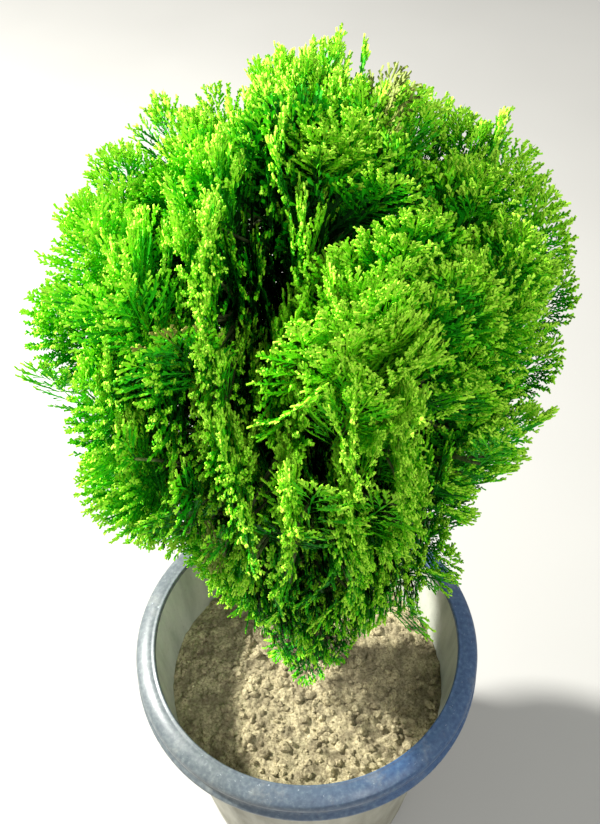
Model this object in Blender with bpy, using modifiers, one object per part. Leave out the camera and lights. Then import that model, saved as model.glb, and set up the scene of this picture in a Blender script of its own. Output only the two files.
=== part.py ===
"""A golden oriental thuja in a twelve-inch nursery pot.

The plant is a short trunk that runs up through an egg-shaped crown, boughs that leave it
all round, and masses of upright fan sprays that the boughs carry. Metres, +Z up, with the
origin at the centre of the pot's flat underside. Azimuths are degrees from +X towards +Y,
and -Y is the plant's front.
"""

import itertools
import math
import random

import bmesh
import bpy
from mathutils import Matrix, Vector

NAME = "potted_thuja"
GAP = 0.0003

# Pot: a tapered body under a broad sloping lip with a skirt
POT_HEIGHT = 0.270
POT_BASE_RADIUS = 0.108
POT_WALL = 0.003
POT_FLOOR = 0.004
POT_FOOT_BEVEL = 0.002
MOUTH_RADIUS = 0.1325
RIM_RADIUS = 0.150
LIP_DROP = 0.009
LIP_STEPS = 4
LIP_THICKNESS = 0.0035
SKIRT_DEPTH = 0.020
SKIRT_WALL = 0.003
BEAD_HEIGHT = 0.005
BEAD_PROUD = 0.0012
TURNED_STEPS = 32
DRAIN_HOLES = 4
DRAIN_RADIUS = 0.006
DRAIN_CIRCLE = 0.060

# Soil: flat where the trunk stands, sinking a little to the wall
SOIL_TOP = 0.200
SOIL_SINK = 0.006
SOIL_FLAT_RADIUS = 0.060
SOIL_STEPS = 3

# Trunk: its foot, its lean and its taper
TRUNK_FOOT = Vector((0.001, 0.030, SOIL_TOP + GAP))
TRUNK_TIP = Vector((0.006, 0.026, 0.664))
TRUNK_FOOT_RADIUS = 0.0125
TRUNK_TIP_RADIUS = 0.0028
TRUNK_SWAY = 0.004
TRUNK_POINTS = 12
FLARE_HEIGHT = 0.030
FLARE = 0.55
FLARE_LOBES = 5
FLARE_LOBE = 0.16

# Crown: an egg with its narrow end down
CROWN_X = 0.005
CROWN_Y = 0.026
CROWN_FOOT = 0.232
CROWN_TOP = 0.780
CROWN_RADIUS = 0.158
CROWN_WIDEST = 0.70
CROWN_LOW_POWER = 1.27
CROWN_HIGH_POWER = 2.30

# Lobes and hollows of the crown: azimuth, height, how far out, spread in degrees and in height
LOBES = (
    (85, 0.760, 0.034, 26, 0.030),
    (13, 0.715, 0.016, 22, 0.050),
    (-56, 0.450, 0.030, 20, 0.035),
    (-95, 0.355, 0.020, 30, 0.045),
    (-148, 0.550, 0.017, 20, 0.045),
    (-168, 0.640, 0.018, 20, 0.060),
    (-112, 0.690, -0.040, 9, 0.060),
    (-36, 0.510, -0.012, 14, 0.030),
    (-126, 0.490, -0.030, 13, 0.035),
    (45, 0.730, -0.007, 18, 0.040),
    (-60, 0.560, -0.008, 14, 0.050),
)

# Tiers of masses. A tier lies between two cones that rise outwards, told by their heights
# on the axis, and is cut into equal sectors from its first azimuth on. Inner is where its
# masses start. Its spray tips lie between two shares of its height, and rise is how
# steeply the lowest and the highest of them grow
CONE_SLOPE = 0.7
TIER_FIELDS = ("name", "low", "high", "sectors", "first", "inner", "tips", "rise", "sprays")
TIERS = (
    ("lowest", 0.235, 0.332, 5, -126, 0.020, (0.50, 0.95), (34, 54), 5),
    ("lower", 0.332, 0.442, 7, -116, 0.036, (0.15, 0.95), (34, 62), 5),
    ("middle", 0.442, 0.556, 8, -110, 0.046, (0.12, 0.95), (38, 74), 5),
    ("upper", 0.556, 0.668, 6, -110, 0.038, (0.12, 0.95), (40, 82), 6),
)
TOP_LOW = 0.672
TOP_RISE = (42, 89)
TOP_SPRAYS = 10
TOP_TIPS = (0.12, 0.95)
MARGIN = 0.0016
GOLDEN = 0.618034
FIRST_SEED = 11

# Boughs and twigs
BOUGH_RADIUS = 0.0042
BOUGH_TIP_RADIUS = 0.0024
BOUGH_POINTS = 4
BOUGH_SAG = 0.006
BOUGH_LOW = 0.014
BOUGH_HIGH = 0.026
BOUGH_SWAY = 0.0015
UPPER_BOUGHS_THINNER = 0.45
STEM_LENGTH = 0.026
STEM_TIP_RADIUS = 0.0016
TWIG_RADIUS = 0.0015
TWIG_TIP_RADIUS = 0.0012

# Sprays: upright toothed fans
SPRAY_LENGTH = (0.078, 0.096)
SPRAY_WIDTH = 0.68
SPRAY_THICKNESS = 0.0018
SPRAY_TEETH = 5
NOTCH = 0.76
HEADING_JITTER = 24
RISE_JITTER = 9
PAGE_TURN = 48
PAGE_JITTER = 30
SPRAY_SIZES = (1.0, 0.86, 0.74, 0.62, 0.52, 0.44)
ROOT_WIDTH = 0.10
ROOT_SUNK = 0.22
OVER_CROWN = 0.008
TRIES = 4


def clear_scene():
    for obj in list(bpy.data.objects):
        bpy.data.objects.remove(obj, do_unlink=True)


def new_collection(name):
    collection = bpy.data.collections.new(name)
    bpy.context.scene.collection.children.link(collection)
    return collection


def new_material(name, colour, roughness, metallic=0.0):
    material = bpy.data.materials.new(name)
    material.use_nodes = True
    shader = material.node_tree.nodes["Principled BSDF"]
    shader.inputs["Base Color"].default_value = (*colour, 1)
    shader.inputs["Roughness"].default_value = roughness
    shader.inputs["Metallic"].default_value = metallic
    return material


def new_object(name, mesh, collection, material=None):
    obj = bpy.data.objects.new(name, mesh)
    collection.objects.link(obj)
    if material:
        mesh.materials.clear()
        mesh.materials.append(material)
    return obj


def solid_mesh(obj):
    """The object's evaluated shape as a mesh, with its caps welded."""
    bpy.context.view_layer.update()
    graph = bpy.context.evaluated_depsgraph_get()
    mesh = bpy.data.meshes.new_from_object(obj.evaluated_get(graph))
    shape = bmesh.new()
    shape.from_mesh(mesh)
    bmesh.ops.remove_doubles(shape, verts=shape.verts, dist=1e-6)
    shape.to_mesh(mesh)
    shape.free()
    return mesh


def turned(name, profile, collection, material):
    """The profile, as radius and height, turned about the Z axis."""
    mesh = bpy.data.meshes.new(name)
    points = [(radius, 0, height) for radius, height in profile]
    mesh.from_pydata(points, [(i, i + 1) for i in range(len(points) - 1)], [])
    obj = new_object(name, mesh, collection, material)
    screw = obj.modifiers.new("Turn", "SCREW")
    screw.steps = TURNED_STEPS
    screw.render_steps = TURNED_STEPS
    screw.use_merge_vertices = True
    screw.merge_threshold = 0.00001
    return obj


def limb(name, points, radii, collection, material, roundness):
    """A round limb along the points that tapers as the radii say, as a closed mesh."""
    curve = bpy.data.curves.new(name, "CURVE")
    curve.dimensions = "3D"
    curve.fill_mode = "FULL"
    curve.bevel_depth = 1.0
    curve.bevel_resolution = roundness
    curve.use_fill_caps = True
    spline = curve.splines.new("POLY")
    spline.points.add(len(points) - 1)
    for slot, point, radius in zip(spline.points, points, radii):
        slot.co = (*point, 1)
        slot.radius = radius
    guide = new_object(name + "_curve", curve, collection)
    obj = new_object(name, solid_mesh(guide), collection, material)
    bpy.data.objects.remove(guide)
    obj.data.shade_smooth()
    obj.data.set_sharp_from_angle(angle=math.radians(50))
    return obj


def mix(ends, share):
    return ends[0] + (ends[1] - ends[0]) * share


def crown_radius(azimuth, height):
    """How far the crown reaches from its axis at this azimuth and height."""
    share = (height - CROWN_FOOT) / (CROWN_TOP - CROWN_FOOT)
    if share <= 0 or share >= 1:
        return 0.0
    if share < CROWN_WIDEST:
        power = CROWN_LOW_POWER
        part = 1 - share / CROWN_WIDEST
    else:
        power = CROWN_HIGH_POWER
        part = (share - CROWN_WIDEST) / (1 - CROWN_WIDEST)
    radius = CROWN_RADIUS * (1 - part**power) ** (1 / power)
    for lobe_azimuth, lobe_height, out, spread, tall in LOBES:
        turn = (azimuth - lobe_azimuth + 180) % 360 - 180
        radius += out * math.exp(-((turn / spread) ** 2) - ((height - lobe_height) / tall) ** 2)
    return max(radius, 0.0)


def crown_point(azimuth, radius, height):
    angle = math.radians(azimuth)
    return Vector((CROWN_X + radius * math.cos(angle), CROWN_Y + radius * math.sin(angle), height))


def reach(azimuth, cone):
    """The radius at which the cone of this height on the axis leaves the crown."""
    radius = 0.0
    while radius < crown_radius(azimuth, cone + CONE_SLOPE * radius):
        radius += 0.001
    return radius


def inside(mass, point):
    """Whether the point keeps to the mass's own space."""
    x = point.x - CROWN_X
    y = point.y - CROWN_Y
    radius = math.hypot(x, y)
    azimuth = math.degrees(math.atan2(y, x))
    cone = point.z - CONE_SLOPE * radius
    if not mass["low"] + MARGIN < cone < mass["high"] - MARGIN:
        return False
    if radius > crown_radius(azimuth, point.z) + OVER_CROWN:
        return False
    if mass["width"] >= 360:
        return True
    turn = abs((azimuth - mass["azimuth"] + 180) % 360 - 180)
    side = math.radians(mass["width"] / 2 - turn)
    return radius > mass["inner"] and side > 0 and radius * math.sin(side) > MARGIN


def masses():
    """Every mass of foliage: its space, its rule's seed and the limb that carries it."""
    found = []
    for row in TIERS:
        tier = dict(zip(TIER_FIELDS, row))
        width = 360 / tier["sectors"]
        middle = (tier["low"] + tier["high"]) / 2
        for index in range(tier["sectors"]):
            azimuth = tier["first"] + (index + 0.5) * width
            mass = dict(tier, name=f"{tier['name']}_{index + 1}", azimuth=azimuth, width=width)
            mass["seed"] = FIRST_SEED + len(found)
            mass["tip"] = crown_point(azimuth, tier["inner"], middle + CONE_SLOPE * tier["inner"])
            spread = tier["high"] - tier["low"] - BOUGH_LOW - BOUGH_HIGH
            mass["start"] = tier["low"] + BOUGH_LOW + spread * (index * GOLDEN % 1)
            found.append(mass)
    top = dict(name="top", low=TOP_LOW, high=CROWN_TOP + OVER_CROWN, azimuth=0, width=360, inner=0)
    top.update(tips=TOP_TIPS, rise=TOP_RISE, sprays=TOP_SPRAYS, seed=FIRST_SEED + len(found), tip=TRUNK_TIP)
    return found + [top]


def fan_outline(length, width):
    """A fan spray's toothed outline in its own plane, from its root along +X."""
    points = [(0.0, -ROOT_WIDTH * width)]
    count = 2 * SPRAY_TEETH - 1
    for step in range(count):
        turn = math.radians(-118 + 236 * step / (count - 1))
        grow = 1.0 if step % 2 == 0 else NOTCH
        along = length * (0.56 + 0.44 * math.cos(turn) * grow)
        across = 0.5 * width * math.sin(turn) * grow
        points.append((along, across))
    points.append((0.0, ROOT_WIDTH * width))
    return points


def spray_frame(tip, length, heading, rise, page):
    """A spray's place: +X along its growth, +Z across its plane, turned like a page about +X."""
    growth = Matrix.Rotation(heading, 4, "Z") @ Matrix.Rotation(-rise, 4, "Y")
    upright = Matrix.Rotation(math.pi / 2 + page, 4, "X")
    return Matrix.Translation(tip) @ growth @ upright @ Matrix.Translation((-length, 0, 0))


def spray_fits(mass, frame, outline):
    half = SPRAY_THICKNESS / 2
    for index, (along, over) in enumerate(outline):
        next_along, next_over = outline[(index + 1) % len(outline)]
        middle = ((along + next_along) / 2, (over + next_over) / 2)
        for place in ((along, over), middle):
            for side in (-half, half):
                if not inside(mass, frame @ Vector((*place, side))):
                    return False
    return True


def twig_fits(mass, start, end):
    return all(inside(mass, start.lerp(end, share)) for share in (0.3, 0.5, 0.7, 0.9))


def spray_place(mass, rule, across, level):
    """The azimuth and height of a spray's tip on the crown, with its length, page and heading."""
    length = rule.uniform(*SPRAY_LENGTH)
    page = mass["page"] + rule.uniform(-PAGE_JITTER, PAGE_JITTER)
    rise = mix(mass["rise"], level) + rule.uniform(-RISE_JITTER, RISE_JITTER) * (1 - level)
    cone = mix((mass["low"], min(mass["high"], CROWN_TOP)), mix(mass["tips"], level))
    if mass["width"] >= 360:
        azimuth = 360 * across
    else:
        half = reach(mass["azimuth"], cone) * math.radians(mass["width"] / 2)
        edge = 2 * MARGIN + 0.5 * SPRAY_WIDTH * length * abs(math.sin(math.radians(page)))
        azimuth = mass["azimuth"] + mass["width"] * (across - 0.5) * max(1 - edge / half, 0)
    heading = azimuth + rule.uniform(-HEADING_JITTER, HEADING_JITTER)
    radius = reach(azimuth, cone)
    tip = crown_point(azimuth, radius, cone + CONE_SLOPE * radius)
    return tip, length, heading, rise, page


def sprays(mass, stem):
    """Where the mass's sprays grow: a seeded rule spreads them over its outer face."""
    rule = random.Random(mass["seed"])
    mass["page"] = rule.uniform(-PAGE_TURN, PAGE_TURN)
    found = []
    for index in range(mass["sprays"]):
        level = (index + rule.uniform(0.2, 0.8)) / mass["sprays"]
        leave = stem[0].lerp(stem[1], 0.25 + 0.7 * level)
        places = []
        for attempt in range(TRIES):
            across = (index * GOLDEN + rule.uniform(-0.06, 0.06)) % 1
            places.append(spray_place(mass, rule, across, level))
        for size, place in itertools.product(SPRAY_SIZES, places):
            tip, full_length, *turns = place
            length = size * full_length
            frame = spray_frame(tip, length, *map(math.radians, turns))
            outline = fan_outline(length, SPRAY_WIDTH * length)
            join = frame @ Vector((ROOT_SUNK * length, 0, 0))
            if spray_fits(mass, frame, outline) and twig_fits(mass, leave, join):
                found.append({"frame": frame, "outline": outline, "leave": leave, "join": join})
                break
    return found


def twig(name, start, end, radius, tip_radius, sides, collection):
    """A straight twig with few sides between two points."""
    along = end - start
    turn = along.to_track_quat("Z", "Y").to_matrix().to_4x4()
    place = Matrix.Translation((start + end) / 2) @ turn
    shape = bmesh.new()
    bmesh.ops.create_cone(
        shape,
        cap_ends=True,
        segments=sides,
        radius1=radius,
        radius2=tip_radius,
        depth=along.length,
        matrix=place,
    )
    mesh = bpy.data.meshes.new(name)
    shape.to_mesh(mesh)
    shape.free()
    return new_object(name, mesh, collection)


def blade(name, frame, outline, collection):
    """A toothed blade: its outline as one face, extruded across its plane."""
    shape = bmesh.new()
    corners = [shape.verts.new((along, over, -SPRAY_THICKNESS / 2)) for along, over in outline]
    face = shape.faces.new(corners)
    grown = bmesh.ops.extrude_face_region(shape, geom=[face])
    lifted = [item for item in grown["geom"] if isinstance(item, bmesh.types.BMVert)]
    bmesh.ops.translate(shape, verts=lifted, vec=(0, 0, SPRAY_THICKNESS))
    bmesh.ops.recalc_face_normals(shape, faces=shape.faces)
    bmesh.ops.triangulate(shape, faces=shape.faces)
    shape.transform(frame)
    mesh = bpy.data.meshes.new(name)
    shape.to_mesh(mesh)
    shape.free()
    return new_object(name, mesh, collection)


def keep_largest_shell(mesh):
    """Drops loose scraps, and the inner shells of hollows that fusing sealed."""
    shape = bmesh.new()
    shape.from_mesh(mesh)
    shells = []
    waiting = set(shape.faces)
    while waiting:
        shell = [waiting.pop()]
        for face in shell:
            for edge in face.edges:
                if len(edge.link_faces) != 2:
                    continue
                for other in edge.link_faces:
                    if other in waiting:
                        waiting.remove(other)
                        shell.append(other)
        shells.append(shell)
    shells.sort(key=len)
    for shell in shells[:-1]:
        bmesh.ops.delete(shape, geom=shell, context="FACES")
    bmesh.ops.triangulate(shape, faces=shape.faces)
    shape.to_mesh(mesh)
    shape.free()


def make_mass(mass, heading, collection, material):
    """One mass: a stem that goes on from its limb, twigs, and fan sprays, all fused."""
    name = "foliage_" + mass["name"]
    start = mass["tip"] + GAP * heading
    stem = (start, start + STEM_LENGTH * heading)
    pieces = new_collection("pieces_of_" + name)
    grown = twig(name, *stem, BOUGH_TIP_RADIUS, STEM_TIP_RADIUS, 5, collection)
    for index, spray in enumerate(sprays(mass, stem)):
        label = f"{name}_{index}"
        twig(label + "_twig", spray["leave"], spray["join"], TWIG_RADIUS, TWIG_TIP_RADIUS, 3, pieces)
        blade(label, spray["frame"], spray["outline"], pieces)
    union = grown.modifiers.new("Fuse", "BOOLEAN")
    union.operation = "UNION"
    union.operand_type = "COLLECTION"
    union.collection = pieces
    union.solver = "MANIFOLD"
    fused = solid_mesh(grown)
    keep_largest_shell(fused)
    bpy.data.objects.remove(grown)
    for piece in list(pieces.objects):
        bpy.data.objects.remove(piece)
    bpy.data.collections.remove(pieces)
    return new_object(name, fused, collection, material)


def pot_outer_radius(height):
    under_lip = POT_HEIGHT - LIP_DROP - LIP_THICKNESS
    return POT_BASE_RADIUS + (MOUTH_RADIUS + POT_WALL - POT_BASE_RADIUS) * height / under_lip


def pot_inner_radius(height):
    floor_radius = pot_outer_radius(POT_FLOOR) - POT_WALL
    return floor_radius + (MOUTH_RADIUS - floor_radius) * (height - POT_FLOOR) / (POT_HEIGHT - POT_FLOOR)


def make_pot(collection, cutters, material):
    """The pot: floor, tapered wall, convex lip, skirt with a bead, and drain holes."""
    lip_edge = POT_HEIGHT - LIP_DROP
    skirt_foot = lip_edge - SKIRT_DEPTH
    under_lip = lip_edge - LIP_THICKNESS
    profile = [(0, POT_FLOOR), (pot_inner_radius(POT_FLOOR), POT_FLOOR)]
    for step in range(LIP_STEPS + 1):
        share = step / LIP_STEPS
        radius = MOUTH_RADIUS + (RIM_RADIUS - MOUTH_RADIUS) * share
        profile.append((radius, POT_HEIGHT - LIP_DROP * share**2))
    profile += [
        (RIM_RADIUS, skirt_foot + BEAD_HEIGHT),
        (RIM_RADIUS + BEAD_PROUD, skirt_foot + BEAD_HEIGHT - BEAD_PROUD),
        (RIM_RADIUS + BEAD_PROUD, skirt_foot),
        (RIM_RADIUS - SKIRT_WALL, skirt_foot),
        (RIM_RADIUS - SKIRT_WALL, under_lip),
        (pot_outer_radius(under_lip), under_lip),
        (pot_outer_radius(POT_FOOT_BEVEL), POT_FOOT_BEVEL),
        (POT_BASE_RADIUS - POT_FOOT_BEVEL, 0),
        (0, 0),
    ]
    pot = turned("pot", profile, collection, material)
    for index in range(DRAIN_HOLES):
        turn = 2 * math.pi * (index + 0.5) / DRAIN_HOLES
        bpy.ops.mesh.primitive_cylinder_add(
            vertices=12,
            radius=DRAIN_RADIUS,
            depth=6 * POT_FLOOR,
            location=(DRAIN_CIRCLE * math.cos(turn), DRAIN_CIRCLE * math.sin(turn), 0),
        )
        cutter = bpy.context.object
        cutter.name = f"drain_cutter_{index + 1}"
        hide_cutter(cutter, cutters)
        hole = pot.modifiers.new(f"Drain {index + 1}", "BOOLEAN")
        hole.operation = "DIFFERENCE"
        hole.object = cutter
    return pot


def hide_cutter(obj, cutters):
    for holder in list(obj.users_collection):
        holder.objects.unlink(obj)
    cutters.objects.link(obj)
    obj.hide_render = True
    obj.display_type = "WIRE"


def make_soil(collection, material):
    """The soil that fills the pot, clear of its wall and floor."""
    edge_height = SOIL_TOP - SOIL_SINK
    edge_radius = pot_inner_radius(edge_height) - 2 * GAP
    profile = [(0, SOIL_TOP)]
    for step in range(SOIL_STEPS + 1):
        share = step / SOIL_STEPS
        radius = SOIL_FLAT_RADIUS + (edge_radius - SOIL_FLAT_RADIUS) * share
        profile.append((radius, SOIL_TOP - SOIL_SINK * share**2))
    floor = POT_FLOOR + GAP
    profile += [(pot_inner_radius(floor) - 2 * GAP, floor), (0, floor)]
    return turned("soil", profile, collection, material)


def trunk_point(share):
    point = TRUNK_FOOT.lerp(TRUNK_TIP, share)
    point.x += TRUNK_SWAY * math.sin(2 * math.pi * share)
    point.y += 0.5 * TRUNK_SWAY * math.sin(3 * math.pi * share)
    return point


def make_trunk(name, extra, collection, material=None):
    """The trunk from its flat cut on the soil to its tip, with a lobed root flare."""
    shares = [(index / (TRUNK_POINTS - 1)) ** 1.25 for index in range(TRUNK_POINTS)]
    foot = trunk_point(shares[1])
    points = [Vector((foot.x, foot.y, TRUNK_FOOT.z))] + [trunk_point(share) for share in shares[1:]]
    radii = []
    for share in shares:
        height = share * (TRUNK_TIP.z - TRUNK_FOOT.z)
        radius = TRUNK_FOOT_RADIUS + (TRUNK_TIP_RADIUS - TRUNK_FOOT_RADIUS) * share
        radii.append(radius * (1 + FLARE * math.exp(-((height / FLARE_HEIGHT) ** 1.3))) + extra)
    trunk = limb(name, points, radii, collection, material, 3)
    for vertex in trunk.data.vertices:
        height = vertex.co.z - TRUNK_FOOT.z
        if height < 2 * FLARE_HEIGHT:
            out = vertex.co - foot
            turn = math.atan2(out.y, out.x)
            grow = FLARE_LOBE * math.exp(-height / FLARE_HEIGHT) * math.cos(FLARE_LOBES * turn)
            vertex.co.x += out.x * grow
            vertex.co.y += out.y * grow
    return trunk


def make_bough(mass, cutter, collection, material):
    """The bough that carries a mass, coped to the trunk. Returns the way its tip points."""
    rule = random.Random(mass["seed"])
    share = (mass["start"] - TRUNK_FOOT.z) / (TRUNK_TIP.z - TRUNK_FOOT.z)
    start = trunk_point(share)
    start_radius = BOUGH_RADIUS * (1 - UPPER_BOUGHS_THINNER * share)
    sway = BOUGH_SWAY * rule.uniform(-1, 1)
    points = []
    radii = []
    for index in range(BOUGH_POINTS):
        along = index / (BOUGH_POINTS - 1)
        point = start.lerp(mass["tip"], along)
        point.z -= BOUGH_SAG * math.sin(math.pi * along)
        point.x += sway * math.sin(2 * math.pi * along)
        points.append(point)
        radii.append(max(start_radius + (BOUGH_TIP_RADIUS - start_radius) * along, BOUGH_TIP_RADIUS))
    bough = limb("bough_" + mass["name"], points, radii, collection, material, 1)
    cope = bough.modifiers.new("Cope", "BOOLEAN")
    cope.operation = "DIFFERENCE"
    cope.object = cutter
    cope.solver = "MANIFOLD"
    return (points[-1] - points[-2]).normalized()


def main():
    clear_scene()
    parts = new_collection(NAME)
    cutters = new_collection(NAME + "_cutters")
    plastic = new_material("pot_plastic", (0.62, 0.60, 0.54), 0.55)
    earth = new_material("sandy_soil", (0.58, 0.46, 0.30), 0.95)
    bark = new_material("thuja_bark", (0.26, 0.17, 0.10), 0.85)
    green = new_material("thuja_foliage", (0.16, 0.42, 0.02), 0.60)
    make_pot(parts, cutters, plastic)
    make_soil(parts, earth)
    make_trunk("trunk", 0.0, parts, bark)
    cutter = make_trunk("trunk_clearance", GAP, cutters)
    hide_cutter(cutter, cutters)
    for mass in masses():
        if mass["name"] == "top":
            heading = (trunk_point(1.0) - trunk_point(0.97)).normalized()
        else:
            heading = make_bough(mass, cutter, parts, bark)
        make_mass(mass, heading, parts, green)


main()
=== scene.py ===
"""The looks of the potted thuja: flat sprays of shoots on twigs, barked limbs, a weathered pot and dry soil.

Metres, +Z up. Azimuths are degrees from +X towards +Y, and -Y is the plant's front. A tone is a step
down the ladder of greens. Coarse is how much wider and sparser shoots are than the finest.
"""

import cmath
import itertools
import math
import random
from collections import namedtuple
from types import SimpleNamespace

import bpy
import numpy as np
from mathutils import Matrix, Vector, noise

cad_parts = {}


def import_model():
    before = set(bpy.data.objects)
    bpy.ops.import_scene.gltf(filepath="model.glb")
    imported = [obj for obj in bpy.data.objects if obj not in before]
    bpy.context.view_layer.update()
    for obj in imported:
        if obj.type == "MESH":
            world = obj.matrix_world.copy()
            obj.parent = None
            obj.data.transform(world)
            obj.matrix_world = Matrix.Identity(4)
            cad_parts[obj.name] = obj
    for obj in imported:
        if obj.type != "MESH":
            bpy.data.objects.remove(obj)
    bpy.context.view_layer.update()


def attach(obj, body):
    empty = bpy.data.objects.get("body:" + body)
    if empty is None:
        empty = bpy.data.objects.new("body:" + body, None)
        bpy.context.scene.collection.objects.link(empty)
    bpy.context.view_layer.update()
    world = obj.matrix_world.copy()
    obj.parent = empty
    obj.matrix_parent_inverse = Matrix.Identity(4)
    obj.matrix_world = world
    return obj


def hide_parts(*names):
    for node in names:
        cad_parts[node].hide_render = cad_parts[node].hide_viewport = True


# The source's pot, soil and trunk
GAP = 0.0003
POT_HEIGHT = 0.270
POT_BASE_RADIUS = 0.108
POT_WALL = 0.003
POT_FLOOR = 0.004
POT_FOOT_BEVEL = 0.002
MOUTH_RADIUS = 0.1325
RIM_RADIUS = 0.150
LIP_DROP = 0.009
LIP_THICKNESS = 0.0035
SKIRT_DEPTH = 0.020
SKIRT_WALL = 0.003
BEAD_HEIGHT = 0.005
BEAD_PROUD = 0.0012
DRAIN_HOLES = 4
DRAIN_RADIUS = 0.006
DRAIN_CIRCLE = 0.060
SOIL_TOP = 0.200
SOIL_SINK = 0.006
SOIL_FLAT_RADIUS = 0.060
TRUNK_FOOT = Vector((0.001, 0.030, SOIL_TOP + GAP))
TRUNK_TIP = Vector((0.006, 0.026, 0.664))
TRUNK_FOOT_RADIUS = 0.0125
TRUNK_TIP_RADIUS = 0.0028
TRUNK_SWAY = 0.004
FLARE_HEIGHT = 0.030
FLARE = 0.55
FLARE_LOBES = 5
FLARE_LOBE = 0.16

# The source's crown. A lobe is azimuth, height, how far out, spread in degrees and in height
CROWN_X = 0.005
CROWN_Y = 0.026
CROWN_FOOT = 0.232
CROWN_TOP = 0.780
CROWN_RADIUS = 0.158
CROWN_WIDEST = 0.70
CROWN_LOW_POWER = 1.27
CROWN_HIGH_POWER = 2.30
LOBES = (
    (85, 0.760, 0.034, 26, 0.030),
    (13, 0.715, 0.016, 22, 0.050),
    (-56, 0.450, 0.030, 20, 0.035),
    (-95, 0.355, 0.020, 30, 0.045),
    (-148, 0.550, 0.017, 20, 0.045),
    (-168, 0.640, 0.018, 20, 0.060),
    (-112, 0.690, -0.040, 9, 0.060),
    (-36, 0.510, -0.012, 14, 0.030),
    (-126, 0.490, -0.030, 13, 0.035),
    (45, 0.730, -0.007, 18, 0.040),
    (-60, 0.560, -0.008, 14, 0.050),
)
OVER_CROWN = 0.008
REACH_STEP = 0.001

# The source's tiers of masses, between cones that rise outwards, and its boughs and sprays
CONE_SLOPE = 0.7
TIER_FIELDS = ("name", "low", "high", "sectors", "first", "inner", "tips", "rise", "sprays")
TIERS = (
    ("lowest", 0.235, 0.332, 5, -126, 0.020, (0.50, 0.95), (34, 54), 5),
    ("lower", 0.332, 0.442, 7, -116, 0.036, (0.15, 0.95), (34, 62), 5),
    ("middle", 0.442, 0.556, 8, -110, 0.046, (0.12, 0.95), (38, 74), 5),
    ("upper", 0.556, 0.668, 6, -110, 0.038, (0.12, 0.95), (40, 82), 6),
)
TOP_LOW = 0.672
TOP_RISE = (42, 89)
TOP_SPRAYS = 10
TOP_TIPS = (0.12, 0.95)
MARGIN = 0.0016
GOLDEN = 0.618034
FIRST_SEED = 11
BOUGH_RADIUS = 0.0042
BOUGH_TIP_RADIUS = 0.0024
BOUGH_POINTS = 4
BOUGH_SAG = 0.006
BOUGH_LOW = 0.014
BOUGH_HIGH = 0.026
BOUGH_SWAY = 0.0015
UPPER_BOUGHS_THINNER = 0.45
STEM_LENGTH = 0.026
STEM_TIP_RADIUS = 0.0016
TWIG_RADIUS = 0.0015
SPRAY_LENGTH = (0.078, 0.096)
SPRAY_WIDTH = 0.68
SPRAY_TEETH = 5
SPRAY_ARC = 118
OVAL_MIDDLE = 0.56
OVAL_HALF = 0.44
NOTCH = 0.76
HEADING_JITTER = 24
RISE_JITTER = 9
PAGE_TURN = 48
PAGE_JITTER = 30
SPRAY_SIZES = (1.0, 0.86, 0.74, 0.62, 0.52, 0.44)
ROOT_WIDTH = 0.10
ROOT_SUNK = 0.22
TRIES = 4

# Added sprays: how many each mass of a tier has, in plumes at its surface and single in its core,
# how deep they stand as shares of the crown's radius, and the lobes that change their reach
PLUMES = {"lowest": 5, "lower": 6, "middle": 7, "upper": 9, "top": 18}
PLUME_DEPTHS = (1.0, 0.80, 0.97, 0.85)
CORE_SPRAYS = {"lowest": 8, "lower": 11, "middle": 14, "upper": 18, "top": 40}
CORE_DEPTHS = (0.16, 0.62, 0.36, 0.72, 0.50, 0.26)
ADDED_LOBES = (
    (122, 0.762, -0.036, 20, 0.040),
    (59, 0.762, -0.030, 15, 0.035),
    (-104, 0.725, -0.042, 11, 0.045),
    (-118, 0.640, -0.026, 8, 0.050),
    (150, 0.745, -0.016, 22, 0.035),
    (-20, 0.625, -0.010, 26, 0.060),
    (88, 0.760, -0.006, 40, 0.060),
    (-148, 0.535, 0.016, 14, 0.050),
    (-44, 0.500, -0.014, 13, 0.060),
    (-176, 0.690, -0.008, 12, 0.045),
)
ADDED_OVER = 0.0035

# How an added spray may stand, tried in turn: its rise in degrees and how far back it steps. Its page
# follows the azimuth that it faces
STANDS = (
    ((66, 88), 0.0), ((64, 84), 0.014), ((58, 76), 0.024),
    ((50, 66), 0.0), ((40, 56), 0.012), ((26, 42), 0.0),
)
ADDED_SIZES = (1.0, 0.86, 0.72)
ADDED_PAGE_JITTER = 11
PAGES = (
    (-180, 26), (-160, 40), (-140, 44), (-120, 30), (-100, 10), (-86, 24),
    (-75, 72), (-50, 44), (-25, 0), (120, 0), (180, 26),
)

# The side whose sprays stand in columns of parallel upright pages. They follow the side beyond its flat
# part, where they are only high up, and leave out the faces at the front
COLUMN_SIDE = (-180, -48)
COLUMN_FLAT = -146
COLUMN_FROM = 0.625
COLUMN_FOLLOW = 0.8
COLUMN_PITCH = 0.0185
COLUMN_SHIFT = 0.0012
COLUMN_LONGER = 1.30
COLUMN_HEADING = 14
COLUMN_PAGE = 5
FACES_SIDE = (-84, -48)
FACES_FROM = 0.640

# A plume's second and third spray: size, turn in degrees, how far beside and how far back they stand
TWIN_RISE = 0.80
TWIN_SIZE = (0.78, 0.96)
TWIN_TURN = (2, 17)
TWIN_BESIDE = (0.0025, 0.0065)
TWIN_BACK = (0.02, 0.20)
TWIN_TILT = 0.12
TWIN_SPIN = 0.16
COLUMN_TURN = (0, 7)
COLUMN_BESIDE = (0.0015, 0.0035)

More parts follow.
